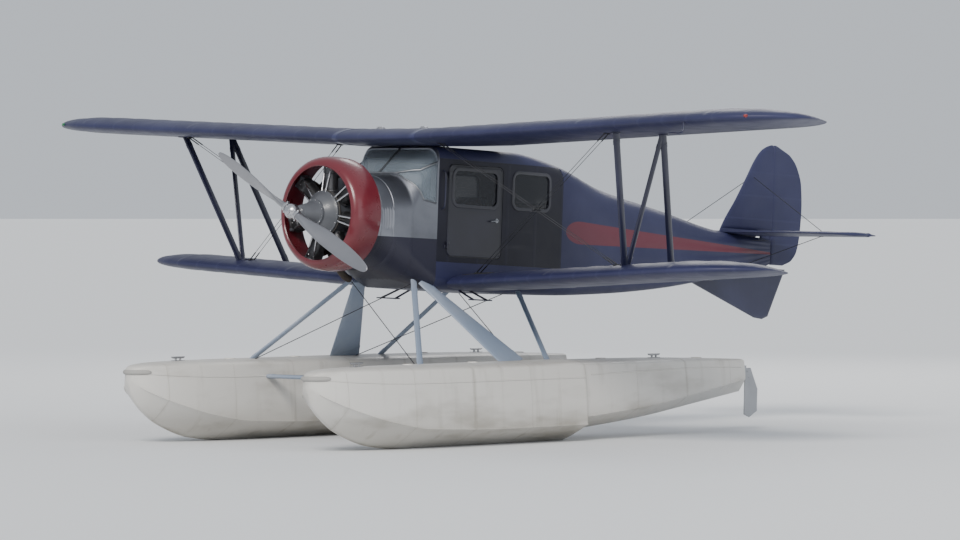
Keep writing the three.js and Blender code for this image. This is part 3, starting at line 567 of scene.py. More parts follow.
def circles_square_to(along, radius, sides, guide):
    """A circle square to each direction, as points about its middle."""
    one = unit(np.cross(along, guide))
    two = np.cross(along, one)
    turn = circle(sides)[:, None]
    radius = np.broadcast_to(radius, len(along))[:, None, None]
    return radius * (one[:, None] * cos(turn) + two[:, None] * sin(turn))


def tube_rings(path, radius, sides, guide):
    """Round sections along a path, each square to the path there."""
    return path[:, None] + circles_square_to(unit(np.gradient(path, axis=0)), radius, sides, guide)


def tube(path, radius, sides=12, guide=(0.0, 0.0, 1.0)):
    """A round tube along a path."""
    return rings_body(tube_rings(array(path), radius, sides, guide))


def rod(a, b, radius, sides=14, guide=(0.0, 0.0, 1.0)):
    """A round rod with slightly rounded ends between two places."""
    length = np.linalg.norm(b - a)
    soft = min(0.3 * radius, 0.2 * length) / length
    path = a + array([0, soft, 1 - soft, 1])[:, None] * (b - a)
    return tube(path, radius * array([0.75, 1, 1, 0.75]), sides, guide)


def pin(place, way, low, high, radius, sides=14, guide=(0.0, 0.0, 1.0)):
    """A rod through a place, from a low to a high distance along a direction."""
    return rod(place + way * low, place + way * high, radius, sides, guide)


def painted_metal(name, colour, worn, roughness=0.28, coat=0.25):
    """Gloss paint on sheet metal: slight fading, fine ripples and rubbed patches."""
    finish = Finish(name, colour, coat=coat)
    finish.shade(finish.noise(1.7, 5.0).smooth(0.4, 0.8), colour, worn)
    finish.rough(roughness - 0.06, 0.2, finish.noise(9.0, 5.0))
    finish.bump(finish.noise(30.0, 2.0), 0.0008, 0.35)
    return finish


def bare_metal(name, colour, roughness=0.3, brushed=(1.0, 1.0, 1.0)):
    """Bare sheet metal: brushed one way, cloudy, with dull and dark patches."""
    finish = Finish(name, colour, metallic=1.0)
    grain = finish.noise(60.0, 4.0, stretch=brushed)
    cloud = finish.noise(3.0, 5.0)
    finish.shade(cloud.smooth(0.45, 0.85) * 0.6, colour, tuple(0.55 * c for c in colour))
    finish.set("Roughness", roughness - 0.08 + 0.22 * cloud + 0.08 * grain)
    finish.bump(grain, 0.0005, 0.4)
    return finish


def glazing(name, colour, alpha):
    """Thin clear sheet: it mirrors the sky and lets some light through."""
    finish = Finish(name, colour, alpha=alpha)
    finish.set("Specular IOR Level", 0.6)
    finish.rough(0.02, 0.1, finish.noise(4.0, 4.0).smooth(0.5, 0.9))
    return finish


# The cabin wall's dope and the door's paint are near-black as a painted shadow of the upper wing, with real
# fading, rib tapes and grime over it.
cabin_shadow_dope = doped("black_cabin_dope", SHADE_BLACK, SHADE_BLACK_FADED, pitch=0.42, width=0.045, root=WALL_SPLIT,
                   across=-AHEAD)
door_shadow_paint = painted_metal("black_door_paint", SHADE_BLACK, SHADE_BLACK_FADED)
frame_metal = bare_metal("window_frame_metal", FRAME_GREY, 0.35, (1.0, 1.0, 14.0))
dark_frame_metal = painted_metal("dark_frame_paint", (0.02, 0.02, 0.03), (0.05, 0.05, 0.062), 0.36)
clear_sheet = glazing("windscreen_sheet", SHEET_CLEAR, 0.34)
# The side panes are near-black: painted shade standing for the dark cabin behind them.
shaded_sheet = glazing("side_window_sheet", SHEET_SHADED, 0.58)

BAY_TOP = ROOF_SPLIT - SEAM
front_bay = opening(room(CABIN_FRONT, WALL_SPLIT, FLOOR_TOP, BAY_TOP))
rear_bay = opening(room(WALL_SPLIT, CABIN_REAR - SEAM, FLOOR_TOP, BAY_TOP))
side_wall = [wall_ring(opening(DOOR, -DOOR_GAP), front_bay, WALL),
             wall_ring(opening(REAR_GLASS), rear_bay, WALL)]
door_panel = wall_ring(opening(DOOR_GLASS), opening(DOOR), WALL, 16, 0.002)
door_stop = wall_ring(opening(DOOR, 0.012), opening(DOOR, -0.018), 0.004, 6, 0.001, WALL + SEAM)

HINGE_LEVELS = (-0.25, 0.44)
HINGE_OUT = 0.014
KNUCKLE = Sizes(half=0.034, radius=0.009)
LEAF = Sizes(inner=0.001, outer=0.007, bevel=0.001, shrink=0.9, corner=0.004)
# the hinge leaf's reach along the skin from the door's front edge, and its knuckle's along the pin
FIXED_HALF, DOOR_HALF = (-0.04, -0.008, -KNUCKLE.half, -SEAM), (-0.003, 0.036, SEAM, KNUCKLE.half)
hinge_line = DOOR.front - DOOR_GAP


def hinge_halves(leaf_front, leaf_rear, low, high):
    """At each hinge, one knuckle round the pin and the leaf that is bolted to the skin."""
    parts = []
    for level in HINGE_LEVELS:
        parts.append(rod(rigged(hinge_line, CABIN_HALF + HINGE_OUT, level + low),
                         rigged(hinge_line, CABIN_HALF + HINGE_OUT, level + high), KNUCKLE.radius, 20, PORT))
        edges = opening(room(DOOR.front + leaf_front, DOOR.front + leaf_rear, level + low, level + high,
                             LEAF.corner))
        leaf = [rigged(edges[:, 0], CABIN_HALF + lift, edges[:, 1])
                for lift in (-LEAF.inner, LEAF.outer - LEAF.bevel, LEAF.outer)]
        leaf[2] = leaf[2] * LEAF.shrink + leaf[2].mean(0) * (1 - LEAF.shrink)
        parts.append(rings_body(leaf))
    return parts


HANDLE = Sizes(station=2.345, height=0.02, reach=0.105, stand=0.03, drop=0.012, rose=0.022)
# how far along the handle, how far out and how thick
HANDLE_LINE = array([[0.0, 0.0, 0.009], [0.0, 0.55, 0.008], [0.06, 0.92, 0.0075], [0.25, 1.05, 0.007],
                     [0.6, 0.95, 0.007], [0.95, 0.8, 0.007], [1.0, 0.72, 0.005]])
along_it, off, thick = HANDLE_LINE.T
handle_path = rigged(HANDLE.station - HANDLE.reach * along_it, CABIN_HALF + HANDLE.stand * off,
                     HANDLE.height - HANDLE.drop * along_it)
rose = rigged(HANDLE.station, CABIN_HALF, HANDLE.height)
door_handle = [tube(handle_path, thick, 14, ABOVE), pin(rose, PORT, 0, 0.006, HANDLE.rose, 28)]

both("cabin_wall_{}", side_wall, "airframe_blue", cabin_shadow_dope, "cabin_side_{}")
both("rear_window_frame_{}", [trim_ring(REAR_GLASS, profile) for profile in PRESSED_FRAME], "nose_metal",
     dark_frame_metal)
both("door_stop_{}", [door_stop], "panel_black", dark_frame_metal)
both("door_hinge_leaves_{}", hinge_halves(*FIXED_HALF), "airframe_blue", door_shadow_paint)
both("door_panel_{}", [door_panel, trim_ring(DOOR, DOOR_BEAD), *hinge_halves(*DOOR_HALF)], "door_blue",
     door_shadow_paint, "cabin_door_{}", body="door_{}")
both("door_window_frame_{}", [trim_ring(DOOR_GLASS, profile) for profile in PRESSED_FRAME], "nose_metal",
     dark_frame_metal, body="door_{}")
both("door_handle_{}", door_handle, "propeller_metal", frame_metal, body="door_{}")
for pane in ("cabin_window_port", "cabin_window_starboard", "door_glass_port", "door_glass_starboard"):
    frame["nodes"][pane].data.materials.clear()
    frame["nodes"][pane].data.materials.append(shaded_sheet.material)


# Nose panels and windscreen
# Bare aluminium panels wrap the engine bay from the firewall to the windscreen, held by turn fasteners
# and cut by louvres, near-black below a line as painted shade. The windscreen is bent sheet between
# thin posts, with a hoop behind it.
NOSE_SPLIT = SCREEN_FOOT + 0.025
PANEL_SEAM = 0.975
HOOP = 0.025
SILL = array([[NOSE_SPLIT, 0.38], [1.31, 0.175], [CABIN_FRONT - HOOP, 0.15]])
FASTENER = 0.0065
LOUVRES = Sizes(first=0.815, pitch=0.03, count=5, half=0.105, level=-0.02, depth=0.022, rise=0.01)
MOUTH = Sizes(start=0.012, depth=0.013, share=0.93, rise=0.0012)
SHEET = 0.002  # the sheet's thickness
SHADE_LINE = Sizes(low=-0.202, high=-0.198)  # the nose is bare above this and near-black below it, a painted shade
NOSE_GREY, NOSE_DULL = (0.27, 0.28, 0.31), (0.16, 0.165, 0.185)


def skin_at(stations, shares, lift=0.0):
    """Places on the port skin, one for each station and share round the half section."""
    side, height = section(hull_sizes(stations), shares[:, None], -lift)
    return rigged(stations, side[:, 0], height[:, 0])


def studs(places, normals, radius, sides=8):
    """Domed heads: on each place two rings and a tip, square to the normal there."""
    normals = unit(normals)
    rim = circles_square_to(normals, radius, sides, (0.31, 0.55, 0.77))
    rise, places = normals[:, None] * radius, places[:, None]
    heads = concatenate([places + rim - 0.2 * rise, places + 0.72 * rim + 0.32 * rise, places - 0.2 * rise,
                         places + 0.5 * rise], 1)
    i = np.arange(sides)
    j = (i + 1) % sides
    foot, tip = np.full(sides, 2 * sides), np.full(sides, 2 * sides + 1)
    one_head = concatenate([stack([i, j, j + sides, i + sides], -1), stack([j, i, foot, foot], -1),
                            stack([i + sides, j + sides, tip, tip], -1)])
    faces = one_head + (2 * sides + 2) * np.arange(len(places))[:, None, None]
    return outward(heads.reshape(-1, 3), faces.reshape(-1, 4))


def skin_studs(stations, shares):
    """Fasteners on the port skin, each facing away from it."""
    places = skin_at(stations, shares)
    return studs(places, skin_at(stations, shares, 0.01) - places, FASTENER)


def side_strip(station, depth, share, rows, columns, rise, thick):
    """A strip of sheet along the louvres' line: it rises off the skin by a function of its two parameters."""
    out, along_it = np.meshgrid(linspace(0, 1, rows), linspace(-share, share, columns), indexing="ij")
    stations = station + depth * out
    heights = LOUVRES.level + LOUVRES.half * along_it
    skin = hull_side(stations, heights) + rise(out, along_it)
    return sheet_body(rigged(stations, skin, heights), rigged(stations, skin - thick, heights))


def swell(out, along_it):
    """A pressed louvre: it rises to an open rear lip and falls to nothing at both ends."""
    return LOUVRES.rise * sin(out * pi * 0.55) * sqrt(np.maximum(1 - along_it**4, 0))


def matt(name, colour, least, spread, scale, detail=2.0, coat=0.0, grain=None):
    """One plain colour whose roughness varies; its grain has a scale, a detail and a depth."""
    finish = Finish(name, colour, coat=coat)
    finish.rough(least, spread, finish.noise(scale, detail))
    if grain:
        finish.bump(finish.noise(*grain[:2]), grain[2], 0.5)
    return finish


nose_metal = bare_metal("nose_panel_metal", NOSE_GREY, 0.34, (1.0, 1.0, 9.0))
# Painted shade: below the line the nose metal turns near-black and not metallic, standing for shade on the
# lower nose.
bare = nose_metal.along(ABOVE).smooth(SHADE_LINE.low, SHADE_LINE.high)
panel_cloud = nose_metal.noise(3.0, 5.0).smooth(0.45, 0.85) * 0.6
nose_metal.shade(bare, SHADE_BLACK_FADED, nose_metal.mix(panel_cloud, NOSE_GREY, NOSE_DULL))
nose_metal.set("Metallic", bare)

nose_stations = concatenate([[FIREWALL, FIREWALL + 0.004], linspace(FIREWALL + 0.014, NOSE_SPLIT - SEAM, 30)])
lip = concatenate([[0.01, 0.003], np.zeros(30)])[:, None]
liner_stations = linspace(NOSE_SPLIT - SEAM, FIREWALL + 0.06, 12)
nose_shell = rings_body(concatenate([all_round(hull_patch(nose_stations, 0, 1, 60, lip)),
                                     all_round(hull_patch(liner_stations, 0, 1, 60, WALL))]))
nose_studs = [skin_studs(np.full(26, station), linspace(0.03, 0.97, 26))
              for station in (FIREWALL + 0.025, PANEL_SEAM - 0.014, PANEL_SEAM + 0.014, SCREEN_FOOT + 0.008)]
louvre_stations = LOUVRES.first + LOUVRES.pitch * np.arange(LOUVRES.count)
louvres = [side_strip(s, LOUVRES.depth, 1, 9, 13, swell, SHEET) for s in louvre_stations]
mouths = [side_strip(s + MOUTH.start, MOUTH.depth, MOUTH.share, 3, 9, lambda *_: MOUTH.rise,
                     MOUTH.rise + SHEET) for s in louvre_stations]
seam_strips = []
for seam in (PANEL_SEAM, FIREWALL + 0.05):
    band = seam + array([-0.022, -0.02, 0.02, 0.022])
    lift = array([0.0, -0.0022, -0.0022, 0.0])[:, None]
    outer, inner = hull_patch(band, 0, 1, 60, lift), hull_patch(band[::-1], 0, 1, 60, 0.004)
    seam_strips.append(rings_body(concatenate([all_round(outer), all_round(inner)]), closed=True))
piece("louvre_mouths", twin(*mouths), "panel_black",
      matt("louvre_shadow_paint", (0.006, 0.006, 0.007), 0.7, 0.2, 60.0))
piece("nose_panels", [nose_shell, *seam_strips, *twin(*nose_studs), *twin(*louvres)], "nose_metal",
      nose_metal, "nose_shell")

screen_stations = linspace(NOSE_SPLIT + SEAM, CABIN_FRONT - HOOP, 24)
sill_level = np.interp(screen_stations, *SILL.T)
sill_share, glass_share = share_at(screen_stations, sill_level), share_at(screen_stations, sill_level + 0.003)
hoop_stations = linspace(CABIN_FRONT - HOOP, CABIN_FRONT - SEAM, 4)
hoop_outer, hoop_inner = hull_patch(hoop_stations, 0, 1, 60), hull_patch(hoop_stations[::-1], 0, 1, 60, WALL)
screen_hoop = rings_body(concatenate([all_round(hoop_outer), all_round(hoop_inner)]), closed=True)
cheek_studs = [skin_studs(np.full(16, CABIN_FRONT - 0.5 * HOOP), linspace(0.05, 0.5, 16)),
               skin_studs(screen_stations[::2], sill_share[::2] - 0.022)]
piece("screen_cheeks", [skin_wall(screen_stations, sill_share, 0, 40), screen_hoop, *twin(*cheek_studs)],
      "nose_metal", nose_metal, "screen_frame")
piece("windscreen_sheet", [skin_wall(screen_stations, glass_share, 1, 40, 0.008, 0.014)], "glass",
      clear_sheet, "windscreen")

POST_SHARE = 0.4  # of the way from the sill to the roof's middle
side_post, middle_post = (tube(skin_at(screen_stations, glass_share + part * (1 - glass_share), 0.002),
                               0.01, 12, PORT) for part in (POST_SHARE, 1.0))
sill_bead = tube(skin_at(screen_stations, glass_share, 0.001), 0.008, 12, PORT)
foot_path = skin_at(np.full(24, NOSE_SPLIT), linspace(glass_share[0], 1, 24), 0.002)
foot_bead = tube(concatenate([foot_path, foot_path[-2::-1] * MIRROR]), 0.009, 12, AHEAD)
piece("windscreen_posts", [*twin(side_post, sill_bead), middle_post, foot_bead], "nose_metal", frame_metal)


# Wings
# Each panel is doped fabric over two wooden spars and a rib every 0.3 m, with a bent tip bow. The
# fabric sags a little between ribs, and each rib shows as a taped line. The section is a rounded nose,
# its thickness and its camber given by the usual four-figure formulas.
CHORD = 1.45
TIP_LENGTH = 0.9
THICKNESS, CAMBER, PEAK = 0.12, 0.02, 0.4
TIP_LEAD = 0.42  # the share of the chord that the tip's rounding takes from the leading edge
RIB_PITCH = 0.3
FABRIC_SLACK = 0.0045
HOLLOW_EDGE = 0.738  # where the skins stop ahead of an aileron, in chords
AILERON = Sizes(hinge=1.09, rise=0.019, radius=0.046, clearance=0.005, gap=0.006)
UPPER = Sizes(lead=1.075, height=0.782, root=0.5, tip=5.06, dihedral=math.radians(2.3), aileron=(2.7, 4.3))
LOWER = Sizes(lead=1.675, height=-0.634, root=0.4, tip=4.15, dihedral=math.radians(3.1), aileron=(1.8, 3.4))
CENTRE = Sizes(lead=1.075, height=0.782, root=0.0, tip=9.0, dihedral=0.0)
CENTRE_HALF = 0.53
ROOT_INSIDE = 0.1  # the lower wing's stub inside the fuselage line


def on_wing(wing, out, aft, up):
    """A place in a wing's own frame: out along the span, aft of the leading edge and up, then dihedral."""
    sine, cosine = math.sin(wing.dihedral), math.cos(wing.dihedral)
    return rigged(wing.lead + aft, wing.root + out * cosine - up * sine,
                  wing.height + out * sine + up * cosine)


def fullness(wing, out):
    """The share of the full chord at a place along the span: 1, then a quarter ellipse to the tip."""
    past = (out - (wing.tip - wing.root) + TIP_LENGTH) / TIP_LENGTH
    return sqrt(np.maximum(1 - np.clip(past, 0, 1) ** 2, 0.0016))


def wing_height(wing, out, aft, face):
    """Camber plus or minus half the thickness, both scaled by the fullness, less the fabric's sag."""
    full = fullness(wing, out)
    x = np.clip((aft - TIP_LEAD * CHORD * (1 - full)) / (CHORD * full), 0, 1)
    half = 5 * THICKNESS * (0.2969 * sqrt(x) - 0.126 * x - 0.3516 * x**2 + 0.2843 * x**3 - 0.1015 * x**4)
    bow = np.where(x < PEAK, CAMBER / PEAK**2 * (2 * PEAK * x - x * x),
                   CAMBER / (1 - PEAK) ** 2 * (1 - 2 * PEAK + 2 * PEAK * x - x * x))
    dip = FABRIC_SLACK * sin(pi * out / RIB_PITCH) ** 2
    dip = dip * np.clip((x - 0.07) / 0.12, 0, 1) * np.clip((1 - x) / 0.1, 0, 1)
    return full * CHORD * (bow + face * half) - face * dip


def tail_shares(count):
    """Shares of the way aft to a trailing edge and back again, with one point on each of its corners."""
    share = np.arange(count) / count
    return concatenate([share, [1, 1], share[:0:-1]])


def wing_loop(wing, out, opened=False):
    """A section from the hollow's edge forward round the nose and back, then round the tail or the hollow."""
    full = fullness(wing, out)
    lead = TIP_LEAD * CHORD * (1 - full)
    edge = lead + HOLLOW_EDGE * CHORD * full
    share = linspace(1, 0, 26) ** 2
    aft = lead + (edge - lead) * concatenate([share, share[-2::-1]])
    up = wing_height(wing, out, aft, np.where(np.arange(51) < 26, 1, -1))
    if opened:
        low, high = (math.atan2(up[k] - AILERON.rise, aft[k] - AILERON.hinge) for k in (-1, 0))
        turn = linspace(low % (2 * pi), high, 20)[1:-1]
        reach = AILERON.radius + AILERON.clearance
        rear_aft, rear_up = AILERON.hinge + reach * cos(turn), AILERON.rise + reach * sin(turn)
    else:
        rear_aft = edge + (lead + CHORD * full - edge) * tail_shares(9)[1:]
        rear_up = wing_height(wing, out, rear_aft, np.where(np.arange(18) < 9, -1, 1))
    return on_wing(wing, out, concatenate([aft, rear_aft]), concatenate([up, rear_up]))


def aileron_loop(wing, out):
    """The aileron's section: half an ellipse round the hinge, then the wing's own skins to the tail."""
    full = fullness(wing, out)
    trail = TIP_LEAD * CHORD * (1 - full) + CHORD * full
    high, low = (wing_height(wing, out, AILERON.hinge, face) - AILERON.rise for face in (1, -1))
    turn = linspace(0.5, 1.5, 17)[:-1] * pi
    nose_up = AILERON.rise + np.where(sin(turn) > 0, high, -low) * sin(turn)
    aft = AILERON.hinge + (trail - AILERON.hinge) * tail_shares(12)
    up = wing_height(wing, out, aft, np.where(np.arange(len(aft)) < 13, -1, 1))
    nose_aft = AILERON.hinge + AILERON.radius * cos(turn)
    return on_wing(wing, out, concatenate([nose_aft, aft]), concatenate([nose_up, up]))


def wing_parts(wing, inner):
    """The panel from its inner end to its tip, open at the aileron's bay, and the aileron itself."""
    span = wing.tip - wing.root
    start, stop = (side - wing.root for side in wing.aileron)
    step = RIB_PITCH / 8
    count = int((stop - start) / step)
    plain = np.arange(inner, start - AILERON.gap, step)
    bay = linspace(start - AILERON.gap, stop + AILERON.gap, count)
    past = math.asin(max(0.0, (bay[-1] - span + TIP_LENGTH) / TIP_LENGTH))
    tip = span - TIP_LENGTH + TIP_LENGTH * sin(linspace(past, pi / 2, 44))
    outs = concatenate([plain, bay[:1], bay, tip])
    opened = (np.arange(len(outs)) > len(plain)) & (np.arange(len(outs)) <= len(plain) + count)
    flap = concatenate([[start], linspace(start + 0.004, stop - 0.004, count), [stop]])
    return (rings_body([wing_loop(wing, out, gap) for out, gap in zip(outs, opened)]),
            rings_body([aileron_loop(wing, out) for out in flap]))


# how far up its soft edge a block's outline lies and how far it is drawn in there, in soft edges
PAD_EDGE = ((0, 1), (0.3, 0.3), (1, 0))


def pad(low, high, soft, place=rigged):
    """A block with soft edges: rounded outlines stacked upwards, drawn in at the bottom and the top."""
    soft = min(soft, 0.45 * min(np.subtract(high, low)))
    base = room(low[0], high[0], low[1], high[1], soft * 1.6)
    levels = [(low[2] + rise * soft, drawn) for rise, drawn in PAD_EDGE]
    levels += [(high[2] - rise * soft, drawn) for rise, drawn in PAD_EDGE[::-1]]
    return rings_body([place(*opening(base, drawn * soft)[::3].T, level) for level, drawn in levels])


LUG_BLOCK = Sizes(front=0.06, rear=0.0465, width=0.013, half=0.026, at=array([0.08, 0.5, 0.92]))
TIP_LAMP = Sizes(inboard=0.34, forward=0.004, half=0.03, radius=0.016, up=0.006)


def aileron_lugs(wing):
    """Three hinge brackets that reach back from the rear spar to the aileron's nose."""
    start, stop = (side - wing.root for side in wing.aileron)
    hinge, rise = AILERON.hinge, AILERON.rise
    return [pad((hinge - LUG_BLOCK.front, out - LUG_BLOCK.width, rise - LUG_BLOCK.half),
                (hinge - LUG_BLOCK.rear, out + LUG_BLOCK.width, rise + LUG_BLOCK.half), 0.004,
                lambda aft, out, up: on_wing(wing, out, aft, up))
            for out in start + LUG_BLOCK.at * (stop - start)]


def turned_body(rows, sides, place=rigged, closed=False):
    """A profile of distances along a line and radii, turned about it; the stack may close on itself."""
    along, radius = array(rows, float).T[:, :, None]
    turn = circle(sides)
    return rings_body(place(along, radius * sin(turn), radius * cos(turn)), closed)


def tip_light(wing):
    """A teardrop lamp on the leading edge of the tip bow."""
    out = wing.tip - wing.root - TIP_LAMP.inboard
    lead = TIP_LEAD * CHORD * (1 - fullness(wing, out)) + TIP_LAMP.forward
    turn = linspace(0, pi, 12)
    profile = stack([-TIP_LAMP.half * cos(turn), TIP_LAMP.radius * np.abs(sin(turn)) ** 0.7 + 0.0004], -1)
    return turned_body(profile, 20,
                       lambda aft, up, away: on_wing(wing, out + away, lead + aft, TIP_LAMP.up + up))


wing_finishes = {}
for level, wing, inner in (("upper", UPPER, CENTRE_HALF - UPPER.root + SEAM), ("lower", LOWER, ROOT_INSIDE)):
    finish = doped(f"navy_{level}_wing_dope", root=wing.root, pitch=RIB_PITCH * math.cos(wing.dihedral),
                   width=0.034)
    panel, aileron = wing_parts(wing, inner)
    both(f"{level}_wing_skin_{{}}", [panel, *aileron_lugs(wing)], "airframe_blue", finish,
         f"{level}_wing_{{}}")
    both(f"{level}_aileron_skin_{{}}", [aileron], "airframe_blue", finish, f"{level}_aileron_{{}}",
         body=f"aileron_{level}_{{}}")
    wing_finishes[level] = finish
piece("port_tip_light", [tip_light(UPPER)], "glass",
      matt("red_lamp_glass", (0.24, 0.01, 0.008), 0.05, 0.08, 40.0, coat=0.6))
piece("starboard_tip_light", mirrored([tip_light(UPPER)]), "glass",
      matt("green_lamp_glass", (0.008, 0.16, 0.05), 0.05, 0.08, 40.0, coat=0.6))

HOIST_PAD = ((1.64, -0.06, 0.84), (1.76, 0.06, 0.905))
centre_loops = [wing_loop(CENTRE, out) for out in linspace(SEAM - CENTRE_HALF, CENTRE_HALF - SEAM, 29)]
piece("centre_section_skin", [rings_body(centre_loops), pad(*HOIST_PAD, 0.006)], "airframe_blue",
      wing_finishes["upper"], "wing_centre_section")

STRAP = Sizes(middle=0.012, half=0.03, lift=0.0016, under=-0.004)


def strap(wing, out):
    """A thin metal strap laid round a wing section, proud of the fabric."""
    rows = []
    for shift, rise in ((-1, STRAP.under), (-1, STRAP.lift), (1, STRAP.lift), (1, STRAP.under)):
        loop = wing_loop(wing, out + STRAP.middle + shift * STRAP.half)
        rows.append(loop + rise * unit((loop - loop.mean(0)) * [0.05, 0, 1]))
    return rings_body(rows, closed=True)


navy_paint = painted_metal("navy_strap_paint", (0.024, 0.028, 0.095), NAVY_WORN)
piece("wing_root_straps", twin(strap(UPPER, CENTRE_HALF - UPPER.root)), "airframe_blue", navy_paint)


# Tail surfaces
# Steel-tube frames under fabric, thin and flat, with a rib every quarter metre. The elevator and the
# rudder turn on round noses in hollows behind the fixed surfaces. Under the tail is a plywood fin.
TAIL_PLANE = 0.095
ELEVATOR = Sizes(hinge=6.98, radius=0.022, trail=0.003)
RUDDER = Sizes(hinge=7.2, radius=0.025, trail=0.003)
TAIL_CLEARANCE = 0.005
TAIL_RIBS = 0.25
TAIL_SLACK = 0.0035
# distance out, leading edge
STABILISER = array([[0, 6.35], [0.7, 6.365], [1.15, 6.43], [1.35, 6.52], [1.47, 6.64], [1.53, 6.8],
                    [1.546, 6.93]])
# distance out, trailing edge
ELEVATOR_TRAIL = array([[0.075, 7.13], [0.17, 7.33], [0.9, 7.35], [1.2, 7.325], [1.38, 7.25],
                        [1.49, 7.14], [1.53, 7.05], [1.546, 7.006]])
# height, leading edge
FIN = array([[0.01, 6.29], [0.2, 6.4], [0.45, 6.59], [0.7, 6.76], [0.88, 6.88], [0.99, 6.985],
             [1.045, 7.09], [1.058, 7.14], [1.062, 7.168]])
# height, trailing edge
RUDDER_TRAIL = array([[-0.225, 7.4], [-0.17, 7.54], [-0.06, 7.63], [0.15, 7.675], [0.4, 7.69],
                      [0.65, 7.67], [0.84, 7.59], [0.96, 7.47], [1.02, 7.33], [1.048, 7.262],
                      [1.06, 7.226]])
TAIL_TIP = STABILISER[-1, 0]


def thinning(at, low, high, reach=0.045):
    """1 along the middle, falling as a quarter circle within a reach of each end."""
    near = np.clip(np.minimum(at - low, high - at) / reach, 0, 1)
    return sqrt(1 - (1 - near) ** 2) * 0.9 + 0.1


def sagging(at, share):
    """The fabric's dip between two ribs, none at the leading and trailing edges."""
    return TAIL_SLACK * sin(pi * at / TAIL_RIBS) ** 2 * np.clip(np.minimum(share, 1 - share) / 0.2, 0, 1)


def vane_loop(lead, hinge, half, hollow, at, thin):
    """A fixed surface's section: rounded ahead, nearly flat behind, ending in a hollow round the hinge."""
    edge = hinge - math.sqrt(hollow**2 - (0.94 * half * thin) ** 2)
    share = linspace(1, 0, 18) ** 1.6
    station = lead + (edge - lead) * concatenate([share, share[-2::-1]])
    x = (station - lead) / (hinge - lead)
    rounding = np.where(x < 0.4, sqrt(np.maximum(1 - (1 - x / 0.4) ** 2, 0)),
                        1 - 0.06 * ((x - 0.4) / 0.6) ** 2)
    face = np.where(np.arange(len(x)) < 18, 1, -1)
    up = face * (half * thin * rounding - sagging(at, x) * (rounding > 0.5))
    turn = linspace(math.atan2(up[-1], edge - hinge) % (2 * pi), math.atan2(up[0], edge - hinge), 14)[1:-1]
    return concatenate([station, hinge + hollow * cos(turn)]), concatenate([up, hollow * sin(turn)])


def flap_loop(flap, trail, at, thin):
    """A moving surface's section: a round nose on the hinge and straight skins to a thin trailing edge."""
    turn = linspace(0.5, 1.5, 15)[:-1] * pi
    share = tail_shares(10)
    radius = flap.radius * thin
    up = radius + (flap.trail - radius) * share - 0.6 * sagging(at, share)
    up = np.where(np.arange(len(share)) < 11, -1, 1) * up
    return (concatenate([flap.hinge + radius * cos(turn), flap.hinge + (trail - flap.hinge) * share]),
            concatenate([radius * sin(turn), up]))


def ends_close(low, high, count):
    """Places from low to high, crowded at both ends."""
    return low + (high - low) * (1 - cos(linspace(0, pi, count))) / 2


def vane_body(table, low, high, flap, half, place, count=70, rear=None):
    """A fixed surface: its section at places from low to high, its leading edge from a table."""
    rings = []
    hinge = rear or flap.hinge
    for at in ends_close(low, high, count):
        lead = between(table, array([abs(at)]))[0, 0]
        thick = half * min(1, 0.35 + (hinge - lead) / 0.5)
        station, up = vane_loop(lead, hinge, thick, flap.radius + TAIL_CLEARANCE, at, thinning(at, low, high))
        rings.append(place(station, at, up))
    return rings_body(rings)


def flap_body(table, low, high, flap, place, count=60):
    """A moving surface: its section at places from low to high, its trailing edge from a table."""
    rings = []
    for at in ends_close(low, high, count):
        station, up = flap_loop(flap, between(table, array([at]))[0, 0], at, thinning(at, low, high, 0.02))
        rings.append(place(station, at, up))
    return rings_body(rings)


def level_place(station, out, up):
    return rigged(station, out, TAIL_PLANE + up)


def upright_place(station, at, up):
    return rigged(station, up, at)


def tail_block(front, rear, half, low, high, soft=0.003):
    """A block in the middle plane of the tail."""
    return pad((front, -half, low), (rear, half, high), soft)


tail_dope = doped("navy_tail_dope", pitch=TAIL_RIBS, width=0.026)
fin_dope = doped("navy_fin_dope", pitch=TAIL_RIBS, width=0.026, across=ABOVE)
tail_lugs = [set_out([tail_block(6.936, 6.957, 0.013, TAIL_PLANE - 0.011, TAIL_PLANE + 0.011)], side)[0]
             for side in (-1.25, -0.45, 0.45, 1.25)]
tail_body = vane_body(STABILISER, -TAIL_TIP, TAIL_TIP, ELEVATOR, 0.024, level_place)
piece("stabiliser_skin", [tail_body, *tail_lugs], "airframe_blue", tail_dope, "stabiliser")
elevator_half = flap_body(ELEVATOR_TRAIL, ELEVATOR_TRAIL[0, 0], TAIL_TIP, ELEVATOR, level_place)
torque_tube = pin(level_place(ELEVATOR.hinge, 0.0, 0.0), PORT, -0.12, 0.12, 0.021, 24)
piece("elevator_skin", [*twin(elevator_half), torque_tube], "airframe_blue", tail_dope, "elevator",
      body="elevator")
fin_foot = TAIL_PLANE + 0.034
fin_parts = [vane_body(FIN, fin_foot, FIN[-1, 0], RUDDER, 0.027, upright_place),
             vane_body(FIN, 0.03, fin_foot + 0.02, RUDDER, 0.02, upright_place, 12, rear=6.95),
             tail_block(7.018, 7.168, 0.014, -0.19, fin_foot + 0.02, 0.004),
             *[tail_block(7.148, 7.1742, 0.012, height, height + 0.03) for height in (0.26, 0.85)],
             tail_block(7.15, 7.1742, 0.012, -0.19, -0.16)]
piece("fin_skin", fin_parts, "airframe_blue", fin_dope, "fin")
piece("rudder_skin", [flap_body(RUDDER_TRAIL, *RUDDER_TRAIL[[0, -1], 0], RUDDER, upright_place)],
      "airframe_blue", fin_dope, "rudder", body="rudder")

# station, height
VENTRAL = array([[5.9, -0.3], [5.9, -0.455], [6.96, -0.8], [7.09, -0.812], [7.18, -0.78],
                 [7.44, -0.265], [7.17, -0.265], [7.135, -0.24], [7.135, -0.15]])
# depth in half thicknesses and drawing-in in soft edges, from a plate's middle to its face
PLATE_EDGE = array([[0.3, 0.0], [0.75, 0.35], [1, 1.0], [1, 2.0]])


